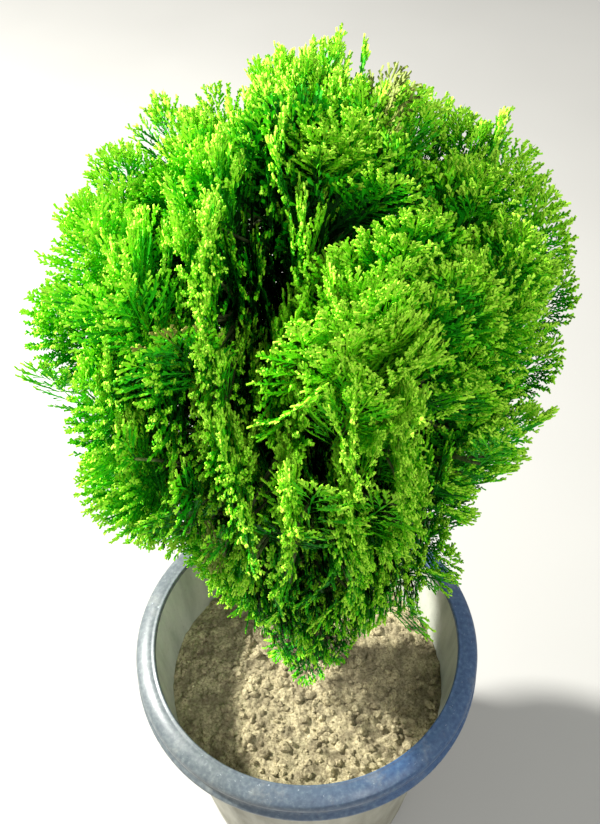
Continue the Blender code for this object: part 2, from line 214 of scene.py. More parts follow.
# Sprays in places of their own. A fill is the mass that bears it, azimuth, width, lowest and highest
# cone and number, a ribbon two ends with their azimuth, radius and height, and number
FILLS = (
    ("top", 88, 26, 0.674, 0.742, 8),
    ("top", 44, 30, 0.690, 0.728, 3),
    ("top", -66, 40, 0.655, 0.695, 6),
    ("lower_7", -146, 26, 0.372, 0.428, 5),
    ("lower_7", -150, 30, 0.390, 0.470, 7),
    ("lowest_2", -52, 24, 0.290, 0.318, 2),
)
FILL_LIGHT_AND_VIGOUR = 0.95
RIBBONS = (
    ((-82, 0.143, 0.704), (-82, 0.154, 0.580), 6),
    ((-72, 0.144, 0.704), (-72, 0.159, 0.640), 4),
    ((-126, 0.084, 0.764), (-118, 0.115, 0.704), 4),
    ((-115, 0.119, 0.690), (-104, 0.154, 0.620), 4),
    ((-94, 0.152, 0.660), (-96, 0.150, 0.580), 3),
)
RIBBON_SEED = 78
RIBBON_LENGTH = (0.058, 0.070)
RIBBON_TURNS = ((-95, -85), (68, 82), (-6, 6))
RIBBON_LIGHT_AND_VIGOUR = 1.2
SKIRT_SPRAYS = ((-98, 0.066, 0.252), (-132, 0.054, 0.250), (-66, 0.056, 0.256), (-112, 0.044, 0.240))
SKIRT_SEED = 77
SKIRT_MASS = "lowest_1"
SKIRT_LENGTH = 0.062
SKIRT_RISE = (-8, 10)
SKIRT_PAGE = (60, 100)
SKIRT_LIGHT_AND_VIGOUR = 0.35
WITHERED_SPRAYS = (
    ("top", 14, 0.053, 0.777, 0.066, 70),
    ("top", 30, 0.058, 0.777, 0.060, 50),
    ("top", 40, 0.066, 0.774, 0.058, 80),
    ("middle_8", -118, 0.140, 0.560, 0.050, 20),
)
WITHERED_RISE = 66
WITHERED_LIGHT_AND_VIGOUR = 0.5
WITHERED_COARSE = 1.25

# One spray: its axis in parts that overlap, side axes, and fingers on them. Turns are in degrees
SPRAY_BROAD = 0.80
SPRAY_BOW = 0.06
AXIS_PARTS = 5
AXIS_STEPS = (-0.12, 0.3, 0.7, 1.1)
AXIS_BREADTH = 0.0014
NODES_ALONG = (0.10, 0.96)
NODE_STEP = (0.0028, 0.0040)
STEP_JITTER = (0.85, 1.15)
SIDE_TURN = (64, 20)
SIDE_TURN_JITTER = 6
SIDE_CURVE = 12
SIDE_REACH = (0.84, 1.02)
SIDE_CLIMB = 0.13
SIDE_SHORTEST = 0.003
SIDE_PARTS = 3
FINGER_FROM = (0.16, 0.0022)
FINGER_TO = 0.0012
FINGER_STEP = 0.0017
FINGER_LONG = 0.0062
FINGER_SHORT = 0.0036
FINGER_SIZE = (0.75, 1.2)
FINGER_BREADTH = 0.00135
FINGER_THICK = 0.0012
FINGER_SUNK = 0.0006
FINGER_TURN = 33
FINGER_TURN_JITTER = 9
FINGER_BEND = 14
FINGER_PARTS = ((0.12, 0.0), (0.78, 0.5), (0.10, 1.0))
FINGER_CLIMB = (0.10, 0.36)
CREST_FROM = 0.74
CREST_SHARE = 0.70
CREST_CLIMB = (0.3, 1.0)
SHELL_RINGS = ((1, 0.40), (2, 0.50))
SPRAY_CURL = 0.10
SPRAY_CUP = 0.16
SPRAY_TWIST = 0.25
SHOOT_BOX = ((-0.178, -0.153, 0), (0.176, 0.1945, 0.785))
PIECE_TRIANGLES = 180000

# How coarse shoots are, and which fingers keep six of their eight points. The others keep four
CORE_COARSE = 2.0
SECOND_COARSE = 1.2
CORNERS_COARSE = 1.3
CORNERS_FROM = 0.68
SHELL_POINTS = {4: (0, 4, 5, 7), 5: (0, 4, 5, 6, 7), 6: (1, 2, 3, 4, 5, 6)}
SHELL_TRIANGLES = {
    4: np.array([(0, 1, 3), (0, 3, 2)]),
    5: np.array([(0, 1, 3), (0, 3, 2), (1, 4, 3), (3, 4, 2)]),
    6: np.array([(0, 3, 5), (0, 5, 2), (2, 5, 4), (2, 4, 1), (3, 4, 5)]),
}

# A shoot's tone: darker from a spray's rim to its root, as real golden tips and as painted shade on the
# flanks;
# less dark by where it faces, painted light on the left and on the high face at the front; and darker where
# it lacks light and vigour
RIM_ZONE = (0.54, 0.93)
SHOOT_TONE = (0.05, 0.60)
FLANK_TONE_AND_SHADE = 4.8
LIT_FACE_ZONE = (-100, -62)
LIT_FACE_LOW = 0.620
LIT_FACE_TONE = 0.60
LIT_LEFT_SIDE = (166, -128)
LIT_LEFT_TONE = 0.84
# Light and vigour: random health, painted light higher up, and painted shade deeper in the crown
LIGHT_AND_VIGOUR_TONE = 3.2
BRONZE_SHARE = 0.006
# Core sprays are dark: painted shade inside the crown
CORE_SHADE = -0.3
# Sprays behind the columns' pages are darker: painted shade
BEHIND_SHADE = 0.15
MOST_LIGHT_AND_VIGOUR = 1.1
HEALTH = 0.16
CORE_DEPTH = 0.75
SECOND_DEPTH = 0.9

# Twigs: where they leave a stem or an older twig, how they sag, and how far they reach into a spray
STEM_CARRIERS = (0.2, 0.6, 1.0)
TWIG_CARRIERS = (0.4, 0.7, 1.0)
CARRIER_ABOVE = 0.004
TWIG_END_RADIUS = 0.0009
TWIG_RINGS = (0, 0.3, 0.6, 1)
TWIG_SIDES = 4
TWIG_IN = 0.004
TWIG_IN_SHARE = 0.06
FIRST_SPRAY_SEED = 1000

# Trunk and boughs, with the depth of their bark, how fine it is round and along, and its octaves
TRUNK_RINGS = 170
TRUNK_SIDES = 32
TRUNK_RELIEF = (0.10, 1.9, 26, 5)
BOUGH_RINGS = 14
BOUGH_SIDES = 12
BOUGH_RELIEF = (0.16, 2, 90, 4)
STEM_SHARES = (0.33, 0.66, 1.0)

# The pot's rounded edges, as steps out and up from the mouth, the lip's edge, the bead's foot and the
# place under the lip
POT_SIDES = 132
INNER_RINGS = 24
OUTER_RINGS = 26
LIP_RINGS = 12
MOUTH_STEPS = (
    (-0.0002, -0.0024), (0, -0.0010), (0.0006, -0.0002), (0.0014, 0), (0.0022, -0.0004), (0.0028, -0.0008),
)
EDGE_STEPS = (
    (-0.0006, 0.0012), (0, -0.0004), (0, -0.0030), (-0.0005, -0.0040),
    (-0.0022, -0.0048), (-0.0026, -0.0060), (-0.0024, -0.0110),
)
BEAD_STEPS = (
    (-0.0016, BEAD_HEIGHT + 0.0012), (-0.0002, BEAD_HEIGHT), (0.7 * BEAD_PROUD, BEAD_HEIGHT - 0.0009),
    (BEAD_PROUD, 0.5 * BEAD_HEIGHT), (0.8 * BEAD_PROUD, 0.0008), (0.2 * BEAD_PROUD, 0),
    (-SKIRT_WALL + 0.0006, 0), (-SKIRT_WALL, 0.0008),
)
UNDER_STEPS = ((-SKIRT_WALL - 0.0006, -0.0012), (-SKIRT_WALL - 0.0020, 0))
FLOOR_RINGS = (0.06, 0.09)

# Soil: its grid, how far it goes into the wall, where it stays level round the trunk, and its crumbs
SOIL_SIDES = 220
SOIL_RINGS = 80
SOIL_LEVEL = (0.016, 0.02)
CRUMBS = 1150
CRUMB_SEED = 5
CRUMB_SIZE = (0.0007, 0.0046)
CRUMB_CLEAR = 0.020
CRUMB_SHAPE = ((0.7, 1.35), (0.7, 1.35), (0.55, 0.95))

# Colours, sRGB from 0 to 255, and stops of them with their places
# The darkest steps, shade most of all, also paint the shade inside the crown
LADDER = ("gold", "bright", "lime", "fresh", "grass", "leaf", "deep", "shade")
COLOURS = {
    "gold": (180, 238, 64),
    "bright": (157, 233, 40),
    "lime": (122, 218, 22),
    "fresh": (82, 198, 15),
    "grass": (38, 164, 7),
    "leaf": (10, 128, 4),
    "deep": (5, 88, 3),
    "shade": (2, 44, 2),
    "bronze": (132, 134, 56),
    "withered": (132, 146, 68),
}
BARK = ((0.30, (60, 46, 36)), (0.5, (106, 86, 68)), (0.72, (156, 138, 114)))
TWIG_BARK = ((0.30, (62, 72, 34)), (0.5, (92, 108, 54)), (0.72, (128, 142, 84)))
BARK_SCALE = 60
TWIG_BARK_SCALE = 120
RIM_BLUE = ((0.30, (43, 67, 104)), (0.55, (60, 87, 122)), (0.75, (86, 111, 135)))
RIM_PALE = ((0.28, (68, 76, 82)), (0.52, (86, 94, 97)), (0.74, (107, 115, 116)))
RIM_SCUFF = (196, 204, 210)
RIM_DUST = (160, 160, 150)
WALL = ((0.26, (150, 155, 143)), (0.5, (178, 182, 170)), (0.72, (198, 200, 188)))
WALL_MUD_AND_SHADE = ((0.26, (112, 108, 92)), (0.5, (140, 136, 120)), (0.72, (164, 161, 146)))
WALL_STAIN = (160, 154, 132)
WALL_GRAIN = (126, 122, 104)
SOIL = ((0.34, (98, 88, 62)), (0.50, (166, 155, 120)), (0.68, (204, 192, 156)))
SOIL_HOLLOW_SHADE = (82, 72, 52)
SOIL_DAMP = (140, 130, 100)
CRUMBS_LIFT = 1.04
STUDIO_FLOOR = ((0.3, (172, 171, 168)), (0.7, (179, 178, 175)))

# Camera, in degrees and with its focal length in the photograph's pixels, floor, sky and lamps
CAMERA_PLACE = (-0.0017, -0.4385, 1.0558)
CAMERA_PITCH = 48.25
CAMERA_ROLL = -0.0203
FOCAL_PIXELS = 1000
PHOTO_HEIGHT = 824
SENSOR = 36
FLOOR_HALF = 6
SKY = (1.0, 1.0, 0.98, 1.0)
SKY_STRENGTH = 0.50
LAMPS = (
    ("key", (-1.60, 0.62, 1.76), (0, 0, 0.38), 0.26, 146, (1.0, 0.99, 0.94)),
    ("low", (-1.90, 0.52, 1.25), (0, 0, 0.20), 0.40, 18, (1.0, 0.99, 0.95)),
    ("fill", (0.9, -1.5, 2.0), (0, 0, 0.4), 1.2, 25, (0.98, 1.0, 0.98)),
)

Spray = namedtuple("Spray", "frame length leave depth column behind", defaults=(None, 1.0, False, False))
Shoot = namedtuple("Shoot", "path base climb breadth out corners")


def mix(ends, share):
    return ends[0] + (ends[1] - ends[0]) * share


def spread(rule, half):
    """A random number from -half to half."""
    return rule.uniform(-half, half)


def radians(*degrees):
    return [math.radians(turn) for turn in degrees]


def linear(red, green, blue):
    """An sRGB colour, 0 to 255, as the linear one that a shader takes."""
    parts = [part / 255 for part in (red, green, blue)]
    return [part / 12.92 if part <= 0.04045 else ((part + 0.055) / 1.055) ** 2.4 for part in parts] + [1.0]


def placed(name, data):
    obj = bpy.data.objects.new(name, data)
    bpy.context.scene.collection.objects.link(obj)
    return obj


def piece(name, points, triangles, materials, slot, nodes=(), slots_of=None, smooth=True):
    """One mesh of the part, riding on the root."""
    mesh = bpy.data.meshes.new(name)
    mesh.from_pydata(points, [], triangles)
    for material in materials:
        mesh.materials.append(material)
    if slots_of is not None:
        mesh.polygons.foreach_set("material_index", slots_of)
    if smooth:
        mesh.shade_smooth()
    mesh.validate()
    obj = placed(name, mesh)
    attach(obj, "root")
    if nodes:
        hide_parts(*nodes)
    return obj


def joined(parts):
    """Several (points, triangles) as one."""
    shifts = np.cumsum([0] + [len(points) for points, _ in parts[:-1]])
    points = np.concatenate([points for points, _ in parts])
    triangles = np.concatenate([triangles + shift for (_, triangles), shift in zip(parts, shifts)])
    return points, triangles


def unit(rows):
    return rows / np.linalg.norm(rows, axis=1)[:, None]


def tube(path, radii, sides, relief=None):
    """A closed tube round a path. relief(ring, turns) gives each ring's share of extra radius."""
    path = np.asarray(path, float)
    tangents = unit(np.gradient(path, axis=0))
    across = np.cross(tangents[0], (0.31, 0.95, 0.12))
    turns = np.arange(sides) * 2 * math.pi / sides
    rings = []
    for index, (centre, tangent, radius) in enumerate(zip(path, tangents, radii)):
        across = across - tangent * (across @ tangent)
        across /= np.linalg.norm(across)
        other = np.cross(tangent, across)
        grown = radius * (1 + (relief(index, turns) if relief else 0 * turns))
        round_it = np.outer(np.cos(turns), across) + np.outer(np.sin(turns), other)
        rings.append(centre + grown[:, None] * round_it)
    return np.concatenate([path[:1], *rings, path[-1:]]), ring_triangles(len(path), sides)


def ring_triangles(rings, sides):
    """The triangles of a tube whose points are a pole, rings of so many sides, and the other pole."""
    step = np.arange(sides)
    after = (step + 1) % sides
    last = 1 + (rings - 1) * sides
    found = [(0 * step, 1 + after, 1 + step)]
    for low in range(1, last, sides):
        high = low + sides
        found += [(low + step, low + after, high + after), (low + step, high + after, high + step)]
    found.append((last + sides + 0 * step, last + step, last + after))
    return np.concatenate([np.stack(corners, axis=1) for corners in found])


def with_lobes(radius, lobes, azimuth, height):
    """A radius with its bulges and hollows in a direction at a height."""
    for lobe_azimuth, lobe_height, out, wide, tall in lobes:
        turn = (azimuth - lobe_azimuth + 180) % 360 - 180
        radius += out * math.exp(-((turn / wide) ** 2) - ((height - lobe_height) / tall) ** 2)
    return radius


def crown_radius(azimuth, height):
    """How far the source's crown reaches from its axis in a direction at a height."""
    share = (height - CROWN_FOOT) / (CROWN_TOP - CROWN_FOOT)
    if share <= 0 or share >= 1:
        return 0.0
    power = CROWN_LOW_POWER
    part = 1 - share / CROWN_WIDEST
    if part <= 0:
        power = CROWN_HIGH_POWER
        part = (share - CROWN_WIDEST) / (1 - CROWN_WIDEST)
    radius = CROWN_RADIUS * (1 - part**power) ** (1 / power)
    return max(with_lobes(radius, LOBES, azimuth, height), 0.0)


def added_radius(azimuth, height):
    """How far the added sprays reach."""
    return with_lobes(crown_radius(azimuth, height), ADDED_LOBES, azimuth, height)


def crown_point(azimuth, radius, height):
    turn = math.radians(azimuth)
    return Vector((CROWN_X + radius * math.cos(turn), CROWN_Y + radius * math.sin(turn), height))


def crown_place(point):
    """A point's azimuth and distance from the crown's axis."""
    x = point.x - CROWN_X
    y = point.y - CROWN_Y
    return math.degrees(math.atan2(y, x)), math.hypot(x, y)


def reach(surface, azimuth, cone):
    """Where a cone through the crown meets a surface."""
    radius = 0.0
    while radius < surface(azimuth, cone + CONE_SLOPE * radius):
        radius += REACH_STEP
    return radius


def inside(mass, point):
    """Whether a point is in the mass's own space."""
    azimuth, radius = crown_place(point)
    if not mass.low + MARGIN <= point.z - CONE_SLOPE * radius <= mass.high - MARGIN:
        return False
    if radius > crown_radius(azimuth, point.z) + OVER_CROWN:
        return False
    side = mass.width / 2 - abs((azimuth - mass.azimuth + 180) % 360 - 180)
    within = radius > mass.inner and side > 0 and radius * math.sin(math.radians(side)) > MARGIN
    return within or mass.width >= 360


def masses():
    """The crown's masses: sectors of bands between two cones, and last the one on the trunk's tip."""
    found = []
    for row in TIERS:
        tier = dict(zip(TIER_FIELDS, row))
        for index in range(tier["sectors"]):
            mass = SimpleNamespace(**tier, seed=FIRST_SEED + len(found))
            mass.name += f"_{index + 1}"
            mass.width = 360 / mass.sectors
            mass.azimuth = mass.first + (index + 0.5) * mass.width
            middle = (mass.low + mass.high) / 2
            mass.tip = crown_point(mass.azimuth, mass.inner, middle + CONE_SLOPE * mass.inner)
            span = mass.high - mass.low - BOUGH_LOW - BOUGH_HIGH
            mass.start = mass.low + BOUGH_LOW + span * (index * GOLDEN % 1)
            found.append(with_stem(mass, bough_path(mass, BOUGH_POINTS)[0]))
    top = SimpleNamespace(name="top", low=TOP_LOW, high=CROWN_TOP + OVER_CROWN, azimuth=0, width=360, inner=0)
    vars(top).update(tips=TOP_TIPS, rise=TOP_RISE, sprays=TOP_SPRAYS, seed=FIRST_SEED + len(found))
    top.tip = TRUNK_TIP
    return found + [with_stem(top, [trunk_point(0.97), trunk_point(1)])]


def with_stem(mass, path):
    """The mass with the two ends of its stem, which goes on from the path of its limb."""
    heading = (path[-1] - path[-2]).normalized()
    start = mass.tip + GAP * heading
    mass.stem = (start, start + STEM_LENGTH * heading)
    return mass


def fan_outline(length, width):
    """The outline of a flat spray that grows along X from its root at the origin."""
    points = [(0, -ROOT_WIDTH * width)]
    count = 2 * SPRAY_TEETH - 1
    for step in range(count):
        turn = math.radians(-SPRAY_ARC + 2 * SPRAY_ARC * step / (count - 1))
        grow = NOTCH if step % 2 else 1
        along = length * (OVAL_MIDDLE + OVAL_HALF * math.cos(turn) * grow)
        points.append((along, 0.5 * width * math.sin(turn) * grow))
    points.append((0, ROOT_WIDTH * width))
    return points


def spray_frame(tip, length, heading, rise, page):
    """A spray's place: +X along its growth, +Z across its plane, turned like a page about +X."""
    heading, rise, page = radians(heading, rise, page)
    growth = Matrix.Rotation(heading, 4, "Z") @ Matrix.Rotation(-rise, 4, "Y")
    upright = Matrix.Rotation(math.pi / 2 + page, 4, "X")
    return Matrix.Translation(tip) @ growth @ upright @ Matrix.Translation((-length, 0, 0))


def spray_fits(mass, frame, outline):
    return all(inside(mass, frame @ Vector((x, y, 0))) for x, y in outline)


def twig_fits(mass, start, end):
    return all(inside(mass, start.lerp(end, share)) for share in (0.3, 0.5, 0.7, 0.9))


def spray_place(mass, rule, across, level):
    """One try of the source's rule at a spray: its tip, length, heading, rise and page."""
    length = rule.uniform(*SPRAY_LENGTH)
    page = mass.page + spread(rule, PAGE_JITTER)
    rise = mix(mass.rise, level) + spread(rule, RISE_JITTER) * (1 - level)
    cone = mix((mass.low, min(mass.high, CROWN_TOP)), mix(mass.tips, level))
    if mass.width >= 360:
        azimuth = 360 * across
    else:
        half = reach(crown_radius, mass.azimuth, cone) * math.radians(mass.width / 2)
        edge = 2 * MARGIN + 0.5 * SPRAY_WIDTH * length * abs(math.sin(math.radians(page)))
        azimuth = mass.azimuth + mass.width * (across - 0.5) * max(1 - edge / half, 0)
    heading = azimuth + spread(rule, HEADING_JITTER)
    radius = reach(crown_radius, azimuth, cone)
    return crown_point(azimuth, radius, cone + CONE_SLOPE * radius), length, heading, rise, page


def own_sprays(mass):
    """The sprays that the mass's solid has."""
    rule = random.Random(mass.seed)
    mass.page = spread(rule, PAGE_TURN)
    found = []
    for index in range(mass.sprays):
        level = (index + rule.uniform(0.2, 0.8)) / mass.sprays
        leave = mass.stem[0].lerp(mass.stem[1], 0.25 + 0.7 * level)
        places = []
        for _ in range(TRIES):
            across = (index * GOLDEN + spread(rule, 0.06)) % 1
            places.append(spray_place(mass, rule, across, level))
        for size, (tip, full_length, *turns) in itertools.product(SPRAY_SIZES, places):
            length = size * full_length
            frame = spray_frame(tip, length, *turns)
            join = frame @ Vector((ROOT_SUNK * length, 0, 0))
            fits = spray_fits(mass, frame, fan_outline(length, SPRAY_WIDTH * length))
            if fits and twig_fits(mass, leave, join):
                found.append(Spray(frame, length, leave))
                break
    return found


def in_reach(frame, length):
    """Whether an added spray stays in the reach."""
    points = [frame @ Vector((x, y, 0)) for x, y in fan_outline(length, SPRAY_WIDTH * length)]
    places = [(*crown_place(point), point.z) for point in points]
    return all(out <= added_radius(azimuth, height) + ADDED_OVER for azimuth, out, height in places)


def in_columns(facing, height):
    """Whether the sprays of this side stand one over the other in parallel upright pages."""
    if not COLUMN_SIDE[0] < facing < COLUMN_SIDE[1] or (facing < COLUMN_FLAT and height < COLUMN_FROM):
        return False
    return not (FACES_SIDE[0] < facing < FACES_SIDE[1] and height > FACES_FROM)


def added_sprays(zone, rule, count, depths):
    """Sprays that fill a zone of the crown within their reach, as upright as it lets them stand."""
    found = []
    first = rule.random()
    for index in range(count):
        level = (index + rule.random()) / count
        across = (first + index * GOLDEN) % 1
        azimuth = zone.azimuth + zone.width * (across - 0.5)
        cone = mix((zone.low, min(zone.high, CROWN_TOP)), level)
        depth = depths[index % len(depths)]
        radius = reach(added_radius, azimuth, cone) * depth
        height = cone + CONE_SLOPE * radius
        full_length = rule.uniform(*SPRAY_LENGTH)
        facing = (azimuth + 180) % 360 - 180
        column = in_columns(facing, height)
        if column:
            full_length *= COLUMN_LONGER
            plane = -90 - COLUMN_FOLLOW * max(COLUMN_FLAT - facing, 0)
            heading = plane + spread(rule, COLUMN_HEADING)
            page = plane - heading + spread(rule, COLUMN_PAGE)
        else:
            heading = azimuth + spread(rule, HEADING_JITTER)
            page = np.interp(facing, *zip(*PAGES)) + spread(rule, ADDED_PAGE_JITTER)
        shift = spread(rule, COLUMN_SHIFT)
        for size, (rises, back) in itertools.product(ADDED_SIZES, STANDS):
            length = size * full_length
            tip = crown_point(azimuth, max(radius - back, 0), height)
            if column and facing > COLUMN_FLAT:
                tip.x = round(tip.x / COLUMN_PITCH) * COLUMN_PITCH + shift
            frame = spray_frame(tip, length, heading, rule.uniform(*rises), page)
            if in_reach(frame, length):
                found.append(Spray(frame, length, None, depth, column))
                break
    return found


def twin(spray, rule, side):
    """A second spray beside one, near parallel and a little shorter, so that the two make one plume."""
    turn = math.radians(side * rule.uniform(*(COLUMN_TURN if spray.column else TWIN_TURN)))
    length = spray.length * rule.uniform(*TWIN_SIZE)
    back = length * rule.uniform(*TWIN_BACK)
    tilt = Matrix.Rotation(-side * rule.uniform(0.0, TWIN_TILT), 4, "Y")
    tilt = tilt @ Matrix.Rotation(spread(rule, TWIN_SPIN), 4, "Z")
    beside = side * rule.uniform(*(COLUMN_BESIDE if spray.column else TWIN_BESIDE))
    frame = spray.frame @ Matrix.Translation((0, 0, beside))
    frame = frame @ Matrix.Rotation(turn, 4, "X") @ tilt
    frame = frame @ Matrix.Translation((spray.length - length - back, 0, 0))
    return spray._replace(frame=frame, length=length, leave=None)


def trunk_point(share):
    point = TRUNK_FOOT.lerp(TRUNK_TIP, share)
    point.x += TRUNK_SWAY * math.sin(2 * math.pi * share)
    point.y += 0.5 * TRUNK_SWAY * math.sin(3 * math.pi * share)
    return point


def trunk_radius(share):
    height = share * (TRUNK_TIP.z - TRUNK_FOOT.z)
    radius = mix((TRUNK_FOOT_RADIUS, TRUNK_TIP_RADIUS), share)
    return radius * (1 + FLARE * math.exp(-((height / FLARE_HEIGHT) ** 1.3)))


def bough_path(mass, count):
    """The points and radii of the bough that carries a mass."""
    rule = random.Random(mass.seed)
    share = (mass.start - TRUNK_FOOT.z) / (TRUNK_TIP.z - TRUNK_FOOT.z)
    start = trunk_point(share)
    start_radius = BOUGH_RADIUS * (1 - UPPER_BOUGHS_THINNER * share)
    sway = BOUGH_SWAY * rule.uniform(-1, 1)
    points = []
    radii = []
    for index in range(count):
        along = index / (count - 1)
        point = start.lerp(mass.tip, along)
        point.z -= BOUGH_SAG * math.sin(math.pi * along)
        point.x += sway * math.sin(2 * math.pi * along)
        points.append(point)
        radii.append(max(mix((start_radius, BOUGH_TIP_RADIUS), along), BOUGH_TIP_RADIUS))
    return points, radii


def pot_outer_radius(height):
    rise = POT_HEIGHT - LIP_DROP - LIP_THICKNESS
    return POT_BASE_RADIUS + (MOUTH_RADIUS + POT_WALL - POT_BASE_RADIUS) * height / rise


def pot_inner_radius(height):
    foot = pot_outer_radius(POT_FLOOR) - POT_WALL
    return foot + (MOUTH_RADIUS - foot) * (height - POT_FLOOR) / (POT_HEIGHT - POT_FLOOR)


def edge_distance(start, turn, length, width):
    """How far it is from a point to the spray's oval edge."""
    half_x, half_y = OVAL_HALF * length, 0.5 * width
    px, py = (start.real - OVAL_MIDDLE * length) / half_x, start.imag / half_y
    dx, dy = math.cos(turn) / half_x, math.sin(turn) / half_y
    a, b, c = dx * dx + dy * dy, px * dx + py * dy, px * px + py * py - 1
    under = b * b - a * c
    return (-b + math.sqrt(under)) / a if under > 0 else 0.0


def outness(point, length, width):
    """How near a point is to a spray's rim: 1 on it, less inside and near the root."""
    across = math.hypot((point.real / length - OVAL_MIDDLE) / OVAL_HALF, 2 * point.imag / width)
    upper = min(max((point.real / length - 0.15) / 0.5, 0), 1)
    return across * (0.62 + 0.38 * upper)


def finger_path(foot, finger, size, bend):
    """The four points of a finger that leaves its axis at an angle and bends."""
    path = [foot - cmath.rect(FINGER_SUNK, finger)]
    for stretch, bent in FINGER_PARTS:
        path.append(path[-1] + cmath.rect(size * stretch, finger + bend * math.radians(FINGER_BEND) * bent))
    return path


def side_shoots(rule, start, turn, curve, full, climb, oval, coarse):
    """One side axis of a spray and the fingers on it."""
    nodes = [start]
    for step in range(SIDE_PARTS):
        nodes.append(nodes[-1] + cmath.rect(full / SIDE_PARTS, turn - curve * (step + 0.5) / SIDE_PARTS))
    shoots = [Shoot(nodes, 0.0, climb, AXIS_BREADTH, outness(nodes[2], *oval) - 0.1, 5)]
    finger_side = rule.choice((-1, 1))
    reached = max(FINGER_FROM[0] * full, FINGER_FROM[1])
    while reached < full - FINGER_TO:
        part = reached / full
        cell = min(int(part * SIDE_PARTS), SIDE_PARTS - 1)
        foot = mix(nodes[cell:cell + 2], part * SIDE_PARTS - cell)
        heading = turn - curve * part
        size = mix((FINGER_LONG, FINGER_SHORT), part) * rule.uniform(*FINGER_SIZE)
        size *= min(1, 0.55 + full / 0.035) * (0.45 + 0.55 * coarse)
        finger = heading + finger_side * math.radians(FINGER_TURN + spread(rule, FINGER_TURN_JITTER))
        path = finger_path(foot, finger, size, -finger_side)
        out = outness(path[-1], *oval)
        scatter = mix(FINGER_CLIMB, min(out, 1))
        corners = 6 if out > CORNERS_FROM and coarse <= CORNERS_COARSE else 4
        shoots.append(Shoot(path, climb * reached, spread(rule, scatter), FINGER_BREADTH, out, corners))
        if coarse <= 1 and out > CREST_FROM and rule.random() < CREST_SHARE:
            path = finger_path(foot, heading + spread(rule, 0.5), 0.85 * size, rule.choice((-1, 1)))
            stand = rule.choice((-1, 1)) * rule.uniform(*CREST_CLIMB)
            shoots.append(Shoot(path, climb * reached, stand, FINGER_BREADTH, out + 0.05, 6))
        finger_side = -finger_side
        reached += FINGER_STEP * coarse * rule.uniform(*STEP_JITTER)
    return shoots


def spray_shoots(rule, length, width, coarse):
    """The shoots of one flat spray, with their paths in its plane as complex numbers."""
    shoots = []
    oval = (length, width)
    bow = spread(rule, SPRAY_BOW) * length
    side = rule.choice((-1, 1))
    for part in range(AXIS_PARTS):
        shares = [(part + step) / AXIS_PARTS for step in AXIS_STEPS]
        path = [complex(share * length, bow * math.sin(math.pi * share)) for share in shares]
        shoots.append(Shoot(path, 0.0, 0.0, AXIS_BREADTH, outness(path[3], *oval) - 0.2, 5))
    along = NODES_ALONG[0] * length
    while along < NODES_ALONG[1] * length:
        share = along / length
        start = complex(along, bow * math.sin(math.pi * share))
        turn = side * math.radians(mix(SIDE_TURN, share) + spread(rule, SIDE_TURN_JITTER))
        full = edge_distance(start, turn, *oval) * rule.uniform(*SIDE_REACH)
        climb = spread(rule, SIDE_CLIMB)
        if full > SIDE_SHORTEST:
            curve = side * math.radians(SIDE_CURVE)
            shoots += side_shoots(rule, start, turn, curve, full, climb, oval, coarse)
        side = -side
        along += mix(NODE_STEP, share) * coarse * rule.uniform(*STEP_JITTER)
    return shoots


def shoot_shells(shoots, length, rule, frame, coarse):
    """The eight points of each ridged shoot, bent with the whole spray and put in its frame."""
    plane, *values = [np.array(values) for values in list(zip(*shoots))[:4]]
    flat = np.stack([plane.real, plane.imag], axis=2)
    base, climb, breadth = [value[:, None] for value in values]
    rises = np.linspace(0, 1, 4) * np.linalg.norm(flat[:, 3] - flat[:, 0], axis=1)[:, None]
    paths = np.concatenate([flat, (base + climb * rises)[:, :, None]], axis=2)
    way = unit(paths[:, 3] - paths[:, 0])
    roll = np.array([spread(rule, 0.5) for _ in shoots])[:, None]
    side = unit(np.stack([-way[:, 1], way[:, 0], np.zeros(len(way))], axis=1))
    across = side * np.cos(roll) + np.cross(way, side) * np.sin(roll)
    normal = np.cross(way, across) * np.array([rule.choice((-1, 1)) for _ in shoots])[:, None]
    high = 0.5 * FINGER_THICK * normal
    rings = []
    for ring, broad in SHELL_RINGS:
        wide = broad * coarse * breadth * across
        middle = paths[:, ring]
        rings += [middle - wide - 0.5 * high, middle + wide - 0.5 * high, middle + high]
    points = np.stack([paths[:, 0], *rings, paths[:, 3]], axis=1)
    curl = spread(rule, SPRAY_CURL)
    cup = spread(rule, SPRAY_CUP)
    twist = spread(rule, SPRAY_TWIST)
    u, v = points[..., 0] / length, points[..., 1] / length
    points[..., 2] += length * (curl * u * u + cup * v * v * 2 + twist * u * v)
    matrix = np.array(frame)
    return points @ matrix[:3, :3].T + matrix[:3, 3]


def spray_tip(spray):
    """A spray's tip and the azimuth that it faces."""
    tip = spray.frame @ Vector((spray.length, 0, 0))
    return tip, crown_place(tip)[0]


def flank_tone(spray, coarse):
    """How dark a spray is away from its rim, real and painted shade: less on the left and front face, painted
    light.
    """
    tip, facing = spray_tip(spray)
    if coarse > SECOND_COARSE:
        return FLANK_TONE_AND_SHADE
    if not LIT_LEFT_SIDE[1] <= facing <= LIT_LEFT_SIDE[0]:
        return FLANK_TONE_AND_SHADE * LIT_LEFT_TONE
    return FLANK_TONE_AND_SHADE * (LIT_FACE_TONE if LIT_FACE_ZONE[0] < facing < LIT_FACE_ZONE[1] and tip.z > LIT_FACE_LOW else 1.0)


